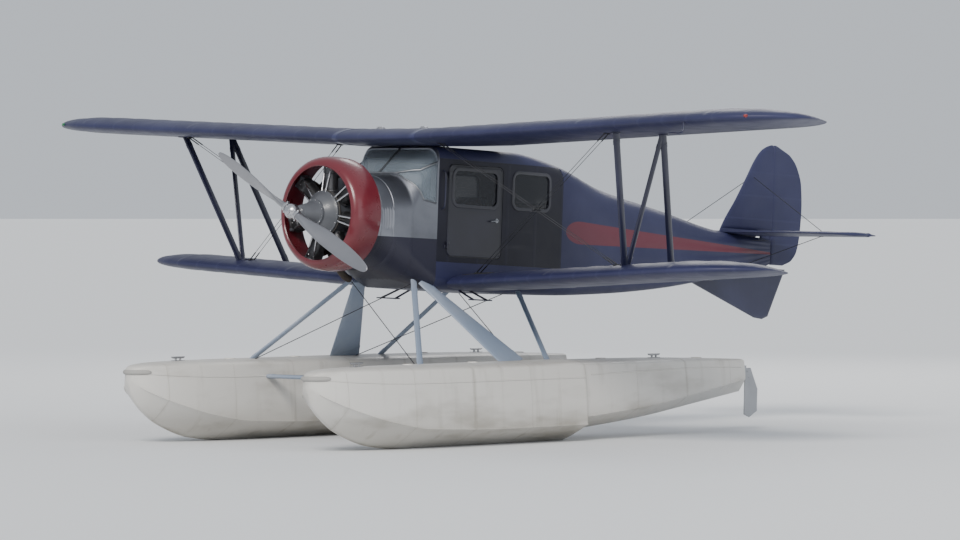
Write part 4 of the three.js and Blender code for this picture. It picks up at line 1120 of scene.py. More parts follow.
def plate(outline, place, half, soft, steps=10):
    """A flat plate with rounded edges: its outline, cut into short runs and drawn in on both faces."""
    nexts = np.roll(outline, -1, 0)
    loop = outline[:, None] + linspace(0, 1, steps, endpoint=False)[:, None] * (nexts - outline)[:, None]
    loop = loop.reshape(-1, 2)
    middle = loop.mean(0)
    away = loop - middle
    rows = []
    for depth, inset in concatenate([PLATE_EDGE[::-1] * [-1, 1], PLATE_EDGE]):
        drawn = middle + away - inset * soft * unit(away)
        rows.append(place(drawn[:, 0], depth * half, drawn[:, 1]))
    return rings_body(rows)


ventral_paint = painted_metal("dark_navy_paint", (0.012, 0.014, 0.045), (0.024, 0.028, 0.075), 0.34)
piece("ventral_fin_board", [plate(VENTRAL, rigged, 0.016, 0.018)], "strut_blue", ventral_paint, "ventral_fin")


# Floats
# Two riveted aluminium hulls, painted: a shallow V bottom with a keel strip, hard chines, slab sides
# and a rounded deck. Half-way aft the bottom steps up. Bulkheads and frames show as rows of rivets.
FLOAT_SIDE = 1.24
STEP_STATION, FLOAT_STERN = 2.5, 5.2
STEP_LAP = 0.2
# station, keel height, half keel, chine height, half beam, deck height, half deck
FOREBODY = array([
    [-1.0, 0.56, 0.006, 0.612, 0.04, 0.728, 0.034],
    [-0.96, 0.462, 0.012, 0.562, 0.11, 0.756, 0.092],
    [-0.85, 0.33, 0.02, 0.492, 0.195, 0.778, 0.162],
    [-0.6, 0.172, 0.028, 0.392, 0.28, 0.792, 0.236],
    [-0.2, 0.045, 0.03, 0.278, 0.344, 0.799, 0.298],
    [0.3, 0.0, 0.03, 0.2, 0.372, 0.8, 0.33],
    [1.4, 0.0, 0.03, 0.168, 0.38, 0.8, 0.34],
    [STEP_STATION, 0.0, 0.03, 0.168, 0.375, 0.8, 0.332],
])
AFTERBODY = array([
    [STEP_STATION - STEP_LAP, 0.07, 0.025, 0.225, 0.36, 0.798, 0.325],
    [3.6, 0.185, 0.025, 0.335, 0.315, 0.788, 0.282],
    [4.6, 0.32, 0.02, 0.462, 0.215, 0.762, 0.186],
    [FLOAT_STERN, 0.405, 0.016, 0.535, 0.105, 0.738, 0.086],
])
DECK_DROP = 0.14  # of the half deck, at its edge
DECK_LIP, CHINE_LIP = 0.012, 0.004
BOTTOM_HOLLOW, HOLLOW_BEAM = 0.01, 0.3
BOW_STEM, BOW_SHRINK = 0.004, 0.7
BOTTOM_POINTS = 14
FRAME_PITCH, FIRST_FRAME = 0.4, -0.7
FRAME_SHARES = linspace(0.385, 0.975, 22)
RIVET = 0.0048
GUNWALE_SHARE = 0.655
STRIP_LIFT = 0.001


def afloat(station, side, height):
    """The same for the level floats: a station, a side from the middle, and a height above the keels."""
    station, side, height = np.broadcast_arrays(station, side, height)
    return stack([HUB[0] - station, side, height], -1)


def table_of(station):
    return FOREBODY if station <= STEP_STATION else AFTERBODY


def deck_height(station):
    """The height of the deck's middle."""
    return between(table_of(station), array([station]))[0, 4]


def float_half(table, stations):
    """Half sections from keel to deck middle: a V with a slight hollow, a side that leans in, a deck like
    half a flattened ellipse whose edge lies a seventh of its half width below its middle."""
    keel, half_keel, chine, beam, deck, half_deck = between(table, stations).T[:, :, None]
    out, rise, turn = linspace(0, 1, BOTTOM_POINTS), linspace(0, 1, 10)[1:], linspace(0, pi / 2, 12)[1:]
    edge, lip = deck - DECK_DROP * half_deck - DECK_LIP, chine + CHINE_LIP
    hollow = BOTTOM_HOLLOW * sin(pi * out) * np.minimum(1, beam / HOLLOW_BEAM)
    side = [0 * keel, half_keel + (beam - half_keel) * out, beam + (half_deck - beam) * rise**2,
            half_deck * cos(turn) ** 0.75]
    height = [keel, keel + (chine - keel) * out - hollow, lip + (edge - lip) * rise,
              edge + (deck - edge) * sin(turn)]
    return concatenate(side, 1), concatenate(height, 1)


def float_rings(table, stations):
    return all_round(afloat(stations[:, None], *float_half(table, stations)))


def float_skin(station, share):
    """Places on the port half of a float's section, and the directions that face away from the skin."""
    side, height = (values[0] for values in float_half(table_of(station), array([station])))
    run = concatenate([[0], np.cumsum(np.hypot(np.diff(side), np.diff(height)))])
    y, z = (array([np.interp(share * run[-1] + step, run, values) for step in (0, 0.006, -0.006)])
            for values in (side, height))
    return afloat(station, y[0], z[0]), stack([0 * y[0], z[1] - z[2], y[2] - y[1]], -1)


def skin_line(stations, share, lift):
    """A line along the float's port side at a share of its half section, raised off the skin."""
    rows = [float_skin(station, array([share])) for station in stations]
    return array([place[0] + lift * unit(away)[0] for place, away in rows])


fore_stations = FOREBODY[0, 0] + (STEP_STATION - FOREBODY[0, 0]) * linspace(0, 1, 60) ** 1.6
aft_stations = linspace(AFTERBODY[0, 0], FLOAT_STERN, 40)
fore_rings = float_rings(FOREBODY, fore_stations)
bow_middle = fore_rings[:1].mean(1, keepdims=True)
bow_cap = bow_middle + BOW_SHRINK * (fore_rings[:1] - bow_middle) + [BOW_STEM, 0, 0]
float_parts = [rings_body(concatenate([bow_cap, fore_rings])),
               rings_body(float_rings(AFTERBODY, aft_stations))]
frame_rows = [s for s in np.arange(FIRST_FRAME, FLOAT_STERN - 0.05, FRAME_PITCH)
              if abs(s - STEP_STATION) > 0.05]
skin_parts = [studs(*float_skin(s, FRAME_SHARES), RIVET, 6) for s in frame_rows]
for table, stations, radius in ((FOREBODY, fore_stations[4:], 0.007), (AFTERBODY, aft_stations[4:-1], 0.006)):
    sizes = between(table, stations)
    skin_parts += [tube(afloat(stations, sizes[:, 3] + STRIP_LIFT, sizes[:, 2]), radius, 8),
                   tube(skin_line(stations, GUNWALE_SHARE, STRIP_LIFT), 0.006, 8)]
keel_stations = linspace(-0.72, STEP_STATION - 0.03, 50)
keel_height = np.maximum(between(FOREBODY, keel_stations)[:, 0] - 0.004, 0.0065)
keel_strip = tube(afloat(keel_stations, 0.0, keel_height), 0.006, 8, PORT)

UPRIGHT = array([0.0, 0.0, 1.0])
CLEAT_STATIONS = (-0.35, 3.9)
CLEAT = Sizes(half=0.085, width=0.022, top=0.042, foot=(0.07, 0.028), deep=0.012, proud=0.004, post=0.011,
              post_out=0.03, post_top=0.034, bar_half=0.01)
HATCH_STATIONS = (0.35, 1.25, 3.1, 4.55)
# height above the deck, radius
HATCH = [(0.0055, 0.0011), (0.0055, 0.03025), (0.0035, 0.0341), (0.0035, 0.044), (0.007, 0.0462),
         (0.007, 0.0528), (0.003, 0.055), (-0.008, 0.055), (-0.008, 0.0011)]


def cleat(station):
    """A mooring cleat: a foot plate, two posts and a bar with a flat top and drooping horns."""
    deck = deck_height(station)
    long, wide = CLEAT.foot
    foot = pad((station - long, -wide, deck - CLEAT.deep), (station + long, wide, deck + CLEAT.proud), 0.003,
               afloat)
    posts = [pin(afloat(station + out, 0, deck), UPRIGHT, 0, CLEAT.post_top, CLEAT.post, 14, PORT)
             for out in (-CLEAT.post_out, CLEAT.post_out)]
    reach = linspace(-1, 1, 25)[:, None]
    half = CLEAT.bar_half * sqrt(1 - 0.75 * reach**8)
    turn = circle(16)
    squared = np.sign(sin(turn)) * np.abs(sin(turn)) ** 0.4
    bar = afloat(station + CLEAT.half * reach, CLEAT.width * (1 - 0.35 * reach**4) * 0.62 * cos(turn),
                 deck + CLEAT.top - half + half * squared)
    return [foot, *posts, rings_body(bar)]


FLOAT_PALE, FLOAT_SOILED = (0.64, 0.62, 0.58), (0.36, 0.335, 0.29)
float_white = Finish("float_white_paint", FLOAT_PALE, coat=0.15)
dirt = float_white.noise(2.2, 6.0, stretch=(0.6, 1.0, 2.0))
run_down = float_white.noise(7.0, 4.0, stretch=(1.0, 1.0, 0.12))
low_band = float_white.axis(2).smooth(0.42, 0.16)
frame_place = float_white.along((-1.0, 0.0, 0.0), (HUB[0] - FIRST_FRAME, 0, 0))
plate_line = float_white.every(frame_place, 2 * FRAME_PITCH, 0.01)
frame_grime = float_white.every(frame_place, FRAME_PITCH, 0.06) * run_down.smooth(0.42, 0.68)
soiled = (dirt.smooth(0.48, 0.72) * 0.45 + run_down.smooth(0.56, 0.8) * 0.35 + low_band * (0.15 + 0.7 * dirt)
          + plate_line * 0.3 + frame_grime * 0.22).smaller(1.0)
float_white.shade(soiled, FLOAT_PALE, FLOAT_SOILED)
float_white.rough(0.28, 0.3, dirt)
float_white.bump(float_white.noise(6.0, 3.0) + float_white.noise(45.0, 2.0) * 0.12 + plate_line * 0.6,
                 0.004, 0.5)
bumper_rubber = matt("bumper_rubber", (0.36, 0.35, 0.33), 0.6, 0.25, 18.0, 4.0, grain=(90.0, 3.0, 0.001))
cleat_metal = bare_metal("cleat_metal", (0.42, 0.42, 0.43), 0.32)

BUMPER = Sizes(rear=-0.86, height=0.7, radius=0.024)
bumper_run = BUMPER.rear + (FOREBODY[0, 0] - BUMPER.rear) * sin(linspace(0, pi / 2, 22))
bumper_out = [np.interp(BUMPER.height, height[BOTTOM_POINTS:], side[BOTTOM_POINTS:])
              for side, height in zip(*float_half(FOREBODY, bumper_run))]
bumper_half = afloat(bumper_run, bumper_out, BUMPER.height)
bumper_path = concatenate([bumper_half, bumper_half[::-1] * MIRROR])
bumper = tube(bumper_path, BUMPER.radius * sqrt(1 - 0.8 * linspace(-1, 1, len(bumper_path)) ** 12), 14)

WATER_RUDDER = Sizes(station=5.27, low=0.56, high=0.68, radius=0.016)
LUG = Sizes(levels=(0.5512, 0.6888), half=0.008, start=FLOAT_STERN - 0.012 - WATER_RUDDER.station)
lug_outline = array([[LUG.start, -0.018], [0.01, -0.018], [0.02, 0.0], [0.01, 0.018], [LUG.start, 0.018]])


def by_pin(aft, side, height):
    """A place on a float by its distance aft of the water rudder's pin."""
    return afloat(WATER_RUDDER.station + aft, side, height)


stern_lugs = [plate(lug_outline, lambda aft, lift, side: by_pin(aft, side, level + lift), LUG.half, 0.003, 4)
              for level in LUG.levels]
hatches = [turned_body(HATCH, 28, lambda up, side, aft: afloat(s + aft, side, deck_height(s) + up))
           for s in HATCH_STATIONS]
both("float_hull_{}", [*float_parts, *twin(*skin_parts), keel_strip, *stern_lugs, *hatches], "float_white",
     float_white, "float_{}", out=FLOAT_SIDE)
both("float_cleats_{}", [part for station in CLEAT_STATIONS for part in cleat(station)], "strut_grey",
     cleat_metal, out=FLOAT_SIDE)
both("float_bumper_{}", [bumper], "panel_black", bumper_rubber, out=FLOAT_SIDE)


# Water rudders
# A flat aluminium blade hangs on a pin between two lugs at each float's stern, with two cross pins for
# the steering and the lifting cable.
water_rudder_metal = bare_metal("water_rudder_metal", (0.44, 0.45, 0.47), 0.36, (1.0, 1.0, 6.0))
# distance aft of the pin, height
WATER_BLADE = array([[0.04, 0.64], [0.028, 0.16], [0.11, 0.13], [0.23, 0.19], [0.24, 0.42], [0.13, 0.64]])
WATER_CHEEK = array([[0.004, 0.575], [0.06, 0.575], [0.06, 0.665], [0.004, 0.665]])
water_parts = [plate(WATER_BLADE, by_pin, 0.007, 0.005), plate(WATER_CHEEK, by_pin, 0.009, 0.003),
               rod(by_pin(0, 0, WATER_RUDDER.low), by_pin(0, 0, WATER_RUDDER.high), WATER_RUDDER.radius,
                   28, PORT),
               pin(by_pin(0.075, 0, 0.605), PORT, -0.013, 0.013, 0.008, 16),
               pin(by_pin(0.1, 0, 0.54), PORT, -0.011, 0.011, 0.006, 12)]
both("water_rudder_blade_{}", water_parts, "water_rudder_metal", water_rudder_metal, "water_rudder_{}",
     body="water_rudder_{}", out=FLOAT_SIDE)


# Float struts and spreader bars
# Streamlined tubes with welded end fittings. A thin strut, a broad tapered one and a second thin one
# carry each float, two bars keep the floats apart, and crossed wires brace the bay between them.
STRUT_HEAD = Sizes(side=0.43, height=-0.62)
STRUT_FOOT = Sizes(side=FLOAT_SIDE - 0.04, height=0.76)
# station of the head, station of the foot, chord at the head and at the foot, thickness
FLOAT_STRUTS = {"front": (1.29, 0.56, 0.07, 0.07, 0.03), "rear": (2.76, 2.38, 0.07, 0.07, 0.03),
                "diagonal": (1.4, 1.9, 0.14, 0.38, 0.044)}
CUFF_PROUD = 0.006


def member(head, foot, head_chord, foot_chord, thickness, guide=AHEAD, rows=20):
    """A streamlined tube, blunt ahead: each section is between an ellipse and a teardrop."""
    along = unit(foot - head)
    wide = unit(guide - np.dot(guide, along) * along)
    turn = circle(28)
    share = linspace(0, 1, rows)[:, None, None]
    long = 0.5 * (head_chord + (foot_chord - head_chord) * share) * cos(turn)[:, None] * wide
    thick = 0.5 * thickness * (sin(turn) * (0.9 + 0.16 * cos(turn)))[:, None] * np.cross(along, wide)
    return rings_body(head + share * (foot - head) + long + thick)


def cuffed(head, foot, chords, thickness, head_cuff, foot_cuff, half=0.03, **settings):
    """A member with a wrapped sleeve near each end, a little proud of it."""
    along, length = unit(foot - head), np.linalg.norm(foot - head)
    parts = [member(head, foot, *chords, thickness, **settings)]
    for at in (head_cuff, length - foot_cuff):
        chord = chords[0] + (chords[1] - chords[0]) * at / length + CUFF_PROUD
        parts.append(member(head + along * (at - half), head + along * (at + half), chord, chord,
                            thickness + CUFF_PROUD, rows=4))
    return parts


strut_grey = painted_metal("strut_grey_paint", (0.235, 0.29, 0.385), (0.33, 0.37, 0.44), 0.34)
for name, (head_station, foot_station, head_chord, foot_chord, thickness) in FLOAT_STRUTS.items():
    head = rigged(head_station, STRUT_HEAD.side, STRUT_HEAD.height)
    foot = afloat(foot_station, STRUT_FOOT.side, STRUT_FOOT.height)
    strut = cuffed(head, foot, (head_chord, foot_chord), thickness, 0.14, 0.1)
    both(f"float_strut_tube_{name}_{{}}", strut, "strut_grey", strut_grey, f"float_strut_{name}_{{}}")

SPREADERS = {"front": 0.56, "rear": 1.97}
SPREADER = Sizes(reach=FLOAT_SIDE - 0.3, height=0.63, chords=(0.09, 0.09), thickness=0.046, cuff=0.1)
level_ahead = array([1.0, 0.0, 0.0])
for name, station in SPREADERS.items():
    ends = [afloat(station, side, SPREADER.height) for side in (-SPREADER.reach, SPREADER.reach)]
    bar = cuffed(*ends, SPREADER.chords, SPREADER.thickness, SPREADER.cuff, SPREADER.cuff,
                 guide=level_ahead, rows=30)
    piece(f"spreader_bar_{name}", bar, "strut_grey", strut_grey, f"spreader_{name}")


# Interplane struts and wires
# On each side an N of streamlined spruce-and-steel tubes, painted navy, joins the wing spars, and
# paired steel wires cross the bay with a spool where they pass.
STRUT_FOOT_SIDE, STRUT_HEAD_SIDE = 2.65, 3.0
SPAR_FRONT, SPAR_REAR = 0.25, 0.93
# spar at the foot, spar at the head, chord, thickness
INTERPLANE = [(SPAR_FRONT, SPAR_FRONT, 0.084, 0.034), (SPAR_REAR, SPAR_REAR, 0.084, 0.034),
              (SPAR_FRONT, SPAR_REAR, 0.064, 0.028)]
SPAR_SHOE = Sizes(half=0.012, radius=0.052)


def spar_place(wing, spar, side):
    """A place in a wing's thickness over a spar."""
    return rigged(wing.lead + spar, side, wing.height + (side - wing.root) * math.tan(wing.dihedral))


def surface_place(wing, spar, side, face):
    """The same on the wing's upper (1) or lower (-1) skin."""
    out = (side - wing.root) / math.cos(wing.dihedral)
    return on_wing(wing, out, spar, wing_height(wing, out, spar, face))


strut_paint = painted_metal("navy_strut_gloss", (0.01, 0.011, 0.034), (0.022, 0.024, 0.06), 0.34)
n_parts = []
for foot_spar, head_spar, chord, thickness in INTERPLANE:
    foot, head = spar_place(LOWER, foot_spar, STRUT_FOOT_SIDE), spar_place(UPPER, head_spar, STRUT_HEAD_SIDE)
    n_parts += cuffed(foot, head, (chord, chord), thickness, 0.16, 0.16, 0.022, rows=24)
for wing, side, face in ((LOWER, STRUT_FOOT_SIDE, 1), (UPPER, STRUT_HEAD_SIDE, -1)):
    n_parts += [pin(surface_place(wing, spar, side, face), ABOVE, -SPAR_SHOE.half, SPAR_SHOE.half,
                    SPAR_SHOE.radius, 24, PORT) for spar in (SPAR_FRONT, SPAR_REAR)]
both("interplane_tubes_{}", n_parts, "strut_blue", strut_paint, "interplane_strut_{}")

# pair is half the distance between the two wires of a pair
STAY = Sizes(inner=0.7, clear=0.11, pair=0.028, radius=0.0028, fork=(0.02, 0.15, 0.0062))
wire_steel = bare_metal("wire_steel", (0.07, 0.071, 0.078), 0.52)


def stay(low, high):
    """A pair of flat-ended tie rods side by side, with a turned fork at each end."""
    along = unit(high - low)
    parts = []
    for shift in (-STAY.pair * AHEAD, STAY.pair * AHEAD):
        parts += [rod(low + shift, high + shift, STAY.radius, 8), pin(low + shift, along, *STAY.fork, 10),
                  pin(high + shift, -along, *STAY.fork, 10)]
    return parts


low_inner, low_outer = (surface_place(LOWER, SPAR_FRONT, side, 1)
                        for side in (STAY.inner, STRUT_FOOT_SIDE - STAY.clear))
high_inner, high_outer = (surface_place(UPPER, SPAR_FRONT, side, -1)
                          for side in (STAY.inner, STRUT_HEAD_SIDE - STAY.clear))
rising, falling = high_outer - low_inner, low_outer - high_inner
shares = np.linalg.lstsq(stack([rising, -falling], 1), high_inner - low_inner, rcond=None)[0]
crossing = 0.5 * (low_inner + shares[0] * rising + high_inner + shares[1] * falling)
stay_parts = [*stay(low_inner, high_outer), *stay(low_outer, high_inner),
              pin(crossing, AHEAD, -0.06, 0.06, 0.014, 18, ABOVE),
              *[pin(place, AHEAD, -0.042, 0.042, 0.011, 12, ABOVE)
                for place in (low_inner, low_outer, high_inner, high_outer)]]
both("stay_tie_rods_{}", stay_parts, "wire_steel", wire_steel, "stay_wires_{}")

# Lighter wires brace the floats crosswise and the tail
brace_wires = [rod(afloat(station, FLOAT_SIDE - 0.1, STRUT_FOOT.height + 0.02),
                   rigged(FLOAT_STRUTS[name][0], -STRUT_HEAD.side, STRUT_HEAD.height - 0.02), 0.0042, 8)
               for name, station in SPREADERS.items()]
fin_top, tail_out, hull_low = (rigged(*place) for place in ((6.86, 0.018, 0.7), (6.8, 1.05, TAIL_PLANE),
                                                            (6.72, 0.075, -0.235)))
brace_wires += [rod(fin_top, tail_out + ABOVE * 0.02, 0.0036, 8),
                rod(tail_out - ABOVE * 0.02, hull_low, 0.0036, 8),
                pin(tail_out, ABOVE, -0.03, 0.03, 0.008, 10, PORT)]
piece("brace_wires", twin(*brace_wires), "wire_steel", wire_steel)


# Engine
# Seven air-cooled cylinders round a cast crankcase: steel barrels and cast heads with thin fins, two
# rocker boxes on each head, chromed pushrod tubes in front, an ignition ring, and an exhaust collector.
CYLINDERS = 7
ENGINE_FACE = 0.53
ROCKER_BOX_OUT = 0.048
FLANGE_BOLTS, FLANGE_RADIUS = 10, 0.072


def about_axis(turn, front=0.0):
    """Places by station from a front, radius and side, for the direction at a turn from the top."""
    sine, cosine = math.sin(turn), math.cos(turn)
    return lambda s, r, side=0.0: rigged(front + s, r * sine + side * cosine, r * cosine - side * sine)


def hoop(station, radius, thick, sides, around):
    """A ring of round section about the thrust line."""
    turn = circle(around)
    profile = stack([station + thick * sin(turn), radius + thick * cos(turn)], -1)
    return turned_body(profile, sides, closed=True)


def fins(low, high, pitch, edges, core, tip):
    """Heights and radii of thin fins; the edges are where each starts, is full, starts to narrow and ends."""
    return [(at + edge, radius) for at in np.arange(low, high, pitch)
            for edge, radius in zip(edges, (core, tip, tip, core))]


# height, radius: a flange, close barrel fins, a waist and broader head fins
CYLINDER = [(0.18, 0.07), (0.222, 0.07), (0.222, 0.08), (0.23, 0.08), (0.231, 0.066),
            *fins(0.238, 0.385, 0.0118, (0, 0.0012, 0.0034, 0.0046), 0.066, 0.079),
            (0.392, 0.066), (0.398, 0.073),
            *fins(0.402, 0.47, 0.0128, (0, 0.0014, 0.004, 0.0054), 0.072, 0.084),
            (0.48, 0.074), (0.492, 0.078), (0.512, 0.07), (0.53, 0.052), (0.538, 0.03)]
# station, radius
CRANKCASE = [(0.0903, 0.002), (0.0903, 0.04), (0.1, 0.052), (0.108, 0.052), (0.112, 0.066), (0.15, 0.075),
             (0.2, 0.088), (0.26, 0.103), (0.292, 0.116), (0.296, 0.134), (0.312, 0.136), (0.316, 0.126),
             (0.345, 0.158), (0.385, 0.198), (0.405, 0.212), (0.412, 0.222), (0.428, 0.222), (0.434, 0.215),
             (0.64, 0.215), (0.652, 0.21), (0.668, 0.16), (0.672, 0.15), (0.789, 0.15), (0.7893, 0.002)]
# station, radius and number of the crankcase's bolts
CASE_BOLTS = ((0.2955, 0.126, 12), (0.4115, 0.2165, 14))

engine_fin_metal = bare_metal("cylinder_fin_metal", (0.2, 0.2, 0.21), 0.42)
case_metal = painted_metal("crankcase_paint", (0.075, 0.08, 0.092), (0.12, 0.125, 0.14), 0.38, 0.2)
bright_steel = bare_metal("bright_steel", (0.52, 0.52, 0.54), 0.2)
exhaust_steel = bare_metal("exhaust_steel", (0.085, 0.07, 0.06), 0.55)
lead_rubber = matt("ignition_lead_rubber", (0.035, 0.032, 0.03), 0.45, 0.3, 30.0, 3.0,
                   grain=(160.0, 2.0, 0.0006))

cylinders, cases, tubes, leads, exhausts = [], [turned_body(CRANKCASE, 72)], [], [], []
for turn in circle(CYLINDERS):
    at = about_axis(turn, ENGINE_FACE)
    out = at(0, 1) - at(0, 0)
    cylinders.append(turned_body(CYLINDER, 32, lambda up, side, ahead: at(-ahead, up, side)))
    for side in (-ROCKER_BOX_OUT, ROCKER_BOX_OUT):
        cover = at(-0.064, 0.5, side)
        cases += [pad((-0.062, side - 0.021, 0.47), (0.06, side + 0.021, 0.53), 0.012,
                      lambda s, y, r: at(s, r, y)),
                  pin(cover, AHEAD, 0, 0.006, 0.017, 16, out), pin(cover, AHEAD, 0, 0.012, 0.006, 6, out)]
        tubes += [rod(at(-0.105, 0.19, side / 2), at(-0.045, 0.492, side), 0.0098, 16, AHEAD),
                  rod(at(-0.109, 0.172, side / 2), at(-0.1, 0.216, side / 2), 0.014, 16, AHEAD)]
    tubes.append(rod(at(-0.085, 0.452, 0.006), at(-0.052, 0.44, 0.006), 0.009, 6))
    bend = linspace(0, 1, 12)
    lead = at(-0.09 + 0.035 * bend + 0.022 * sin(pi * bend), 0.228 + 0.215 * bend, 0.002 + 0.004 * bend)
    leads.append(tube(lead, 0.0048, 8, AHEAD))
    bend = linspace(0, 1, 10)
    exhausts.append(tube(at(0.05 + 0.105 * sin(bend * pi / 2), 0.455 - 0.055 * bend**2, 0.04 * (1 - bend)),
                         0.024, 16, AHEAD))
    for way in circle(FLANGE_BOLTS):
        foot = at(-FLANGE_RADIUS * math.cos(way), 0.229, FLANGE_RADIUS * math.sin(way))
        tubes.append(pin(foot, out, 0, 0.009, 0.0055, 6, AHEAD))
for station, radius, count in CASE_BOLTS:
    tubes += [pin(about_axis(turn)(station, radius), AHEAD, 0, 0.008, 0.0065, 6)
              for turn in circle(count) + 0.22]
tubes.append(rod(rigged(0.0603, 0, 0), rigged(0.122, 0, 0), 0.034, 40))
leads.append(hoop(ENGINE_FACE - 0.092, 0.226, 0.01, 72, 10))
bend = linspace(0, 1, 16)
pipe = rigged(0.69 + 0.3 * bend, -0.135 - 0.03 * bend, -0.385 - 0.235 * sin(bend * pi / 2) ** 1.2)
pipe_outside, pipe_inside = (tube_rings(pipe, radius, 28, PORT) for radius in (0.036, 0.032))
exhausts += [hoop(ENGINE_FACE + 0.158, 0.398, 0.034, 96, 16),
             rings_body(concatenate([pipe_outside, pipe_inside[::-1]]), closed=True)]

piece("engine_cylinders", cylinders, "engine_metal", engine_fin_metal, "engine")
piece("engine_crankcase", cases, "engine_metal", case_metal)
piece("engine_tubes_and_bolts", tubes, "engine_metal", bright_steel)
piece("ignition_harness", leads, "panel_black", lead_rubber)
piece("exhaust_collector", exhausts, "engine_metal", exhaust_steel)


# Ring cowl
# A narrow ring of rolled aluminium round the cylinders, painted red: a rounded lip, a shallow curved
# outer face and an open rear, riveted to a frame inside it.
COWL_BORE = 0.546
# station, radius
COWL_PROFILE = array([
    [0.353, 0.46], [0.346, 0.468], [0.345, 0.48], [0.3475, 0.495], [0.354, 0.508], [0.37, 0.5255],
    [0.393, 0.54], [0.42, 0.55], [0.455, 0.557], [0.5, 0.561], [0.545, 0.562], [0.6, 0.5595],
    [0.65, 0.5555], [0.6785, 0.5535], [0.68, 0.551], [0.6785, 0.5495], [0.64, 0.549], [0.595, 0.5465],
    [0.5, COWL_BORE], [0.437, COWL_BORE], [0.42, 0.538], [0.401, 0.524], [0.38, 0.508], [0.367, 0.492],
    [0.361, 0.48], [0.363, 0.472], [0.36, 0.463],
])
COWL_RIVETS = 64
COWL_STRAPS = (0.55 * pi, 1.45 * pi, 0.98 * pi)
STRAP_UNDER = -0.004
# station, height off the cowl
STRAP_LINE = array([[0.375, -0.002], [0.38, 0.002], [0.42, 0.0025], [0.47, 0.0025], [0.52, 0.0025],
                    [0.57, 0.0025], [0.62, 0.0025], [0.665, 0.002], [0.672, -0.002]])
strap_width = linspace(-0.022, 0.022, 7)
cowl_red = painted_metal("cowl_red_paint", (0.125, 0.011, 0.019), (0.17, 0.024, 0.032), 0.26, 0.3)


def cowl_radius(stations):
    """The outer face's radius."""
    return np.interp(stations, *COWL_PROFILE[2:15].T)


cowl_parts = [turned_body(COWL_PROFILE, 144, closed=True)]
for station in (0.402, 0.662):
    turn, radius = circle(COWL_RIVETS), cowl_radius(station)
    places = rigged(station, radius * sin(turn), radius * cos(turn))
    cowl_parts.append(studs(places, places - rigged(station, 0, 0), 0.0052))
strap_stations, strap_lift = STRAP_LINE.T[:, :, None]
strap_radii = [sqrt((cowl_radius(strap_stations) + lift) ** 2 - strap_width**2)
               for lift in (strap_lift, STRAP_UNDER)]
for turn in COWL_STRAPS:
    faces = [about_axis(turn)(strap_stations, radius, strap_width) for radius in strap_radii]
    cowl_parts.append(sheet_body(*faces))
piece("cowl_ring_skin", cowl_parts, "cowl_red", cowl_red, "cowl_ring")


# Propeller
# Two forged metal blades, polished in front, twisted from coarse at the root to fine at the tip and
# clamped in a steel hub by two bolted rings; the shaft's nut closes the hub in front.
PROPELLER_RADIUS = 1.2
PROPELLER_REST = math.radians(62)
# distance out, chord, thickness, pitch
BLADE = array([
    [0.045, 0.07, 0.066, 70], [0.15, 0.086, 0.062, 60], [0.3, 0.128, 0.038, 50], [0.55, 0.162, 0.023, 36],
    [0.8, 0.158, 0.015, 27], [1.0, 0.132, 0.01, 22], [1.12, 0.096, 0.008, 19], [1.18, 0.058, 0.006, 18],
    [PROPELLER_RADIUS, 0.024, 0.005, 18],
])
# distance ahead, radius
HUB_PROFILE = [(0.07, 0.002), (0.07, 0.03), (0.066, 0.036), (0.056, 0.037), (0.052, 0.046), (0.04, 0.058),
               (0.032, 0.066), (0.024, 0.0705), (0.01, 0.072), (-0.03, 0.072), (-0.038, 0.07),
               (-0.044, 0.062), (-0.056, 0.052), (-0.06, 0.049), (-0.06, 0.002)]
# distance out, radius
CLAMP_PROFILE = [(0.072, 0.034), (0.072, 0.044), (0.075, 0.047), (0.097, 0.047), (0.1, 0.044), (0.1, 0.034)]
CLAMP = Sizes(out=0.086, bolt=array([0.012, -0.016]), bolt_side=0.053, lug_ahead=0.007,
              lug=array([0.041, 0.061]))
HUB_BOLTS = Sizes(count=8, ahead=0.036, radius=0.05, start=0.39)


def spun(x, y, z):
    """A place in the propeller's own frame, x ahead and z along a blade, turned to where it rests."""
    sine, cosine = math.sin(PROPELLER_REST), math.cos(PROPELLER_REST)
    return rigged(-x, y * cosine - z * sine, y * sine + z * cosine)


def blade(way):
    """Sections that are round at the root and flat behind with a bowed front further out."""
    out = BLADE[0, 0] + (PROPELLER_RADIUS - BLADE[0, 0]) * (1 - (1 - linspace(0, 1, 60)) ** 1.35)
    chord, thickness, pitch = between(BLADE, out).T[:, :, None]
    out, turn, lean = out[:, None], circle(40), np.radians(pitch)
    chord = chord * np.where(out > 1.185, sqrt(np.clip((1.2035 - out) / 0.0185, 0.05, 1)), 1)
    flat = np.clip((out - 0.16) / 0.25, 0, 1)
    bow = np.where(sin(turn) > 0, 1 + 0.15 * flat, 1 - 0.55 * flat) * (1 + 0.12 * flat * cos(turn))
    along, across = 0.5 * chord * cos(turn), 0.5 * thickness * bow * sin(turn)
    x = along * sin(lean) + across * cos(lean)
    y = along * cos(lean) - across * sin(lean)
    return rings_body(spun(x, way * y, way * out))


def blade_clamp(way):
    """A split ring round a blade's root with its two pinch bolts and their lugs."""
    parts = [turned_body(CLAMP_PROFILE, 40, lambda z, y, x: spun(x, y, way * z), closed=True)]
    for side in (-way, way):
        parts += [rod(*spun(CLAMP.bolt, side * CLAMP.bolt_side, way * CLAMP.out), 0.0065, 8, PORT),
                  rod(*spun(CLAMP.lug_ahead, side * CLAMP.lug, way * CLAMP.out), 0.01, 12, AHEAD)]
    return parts


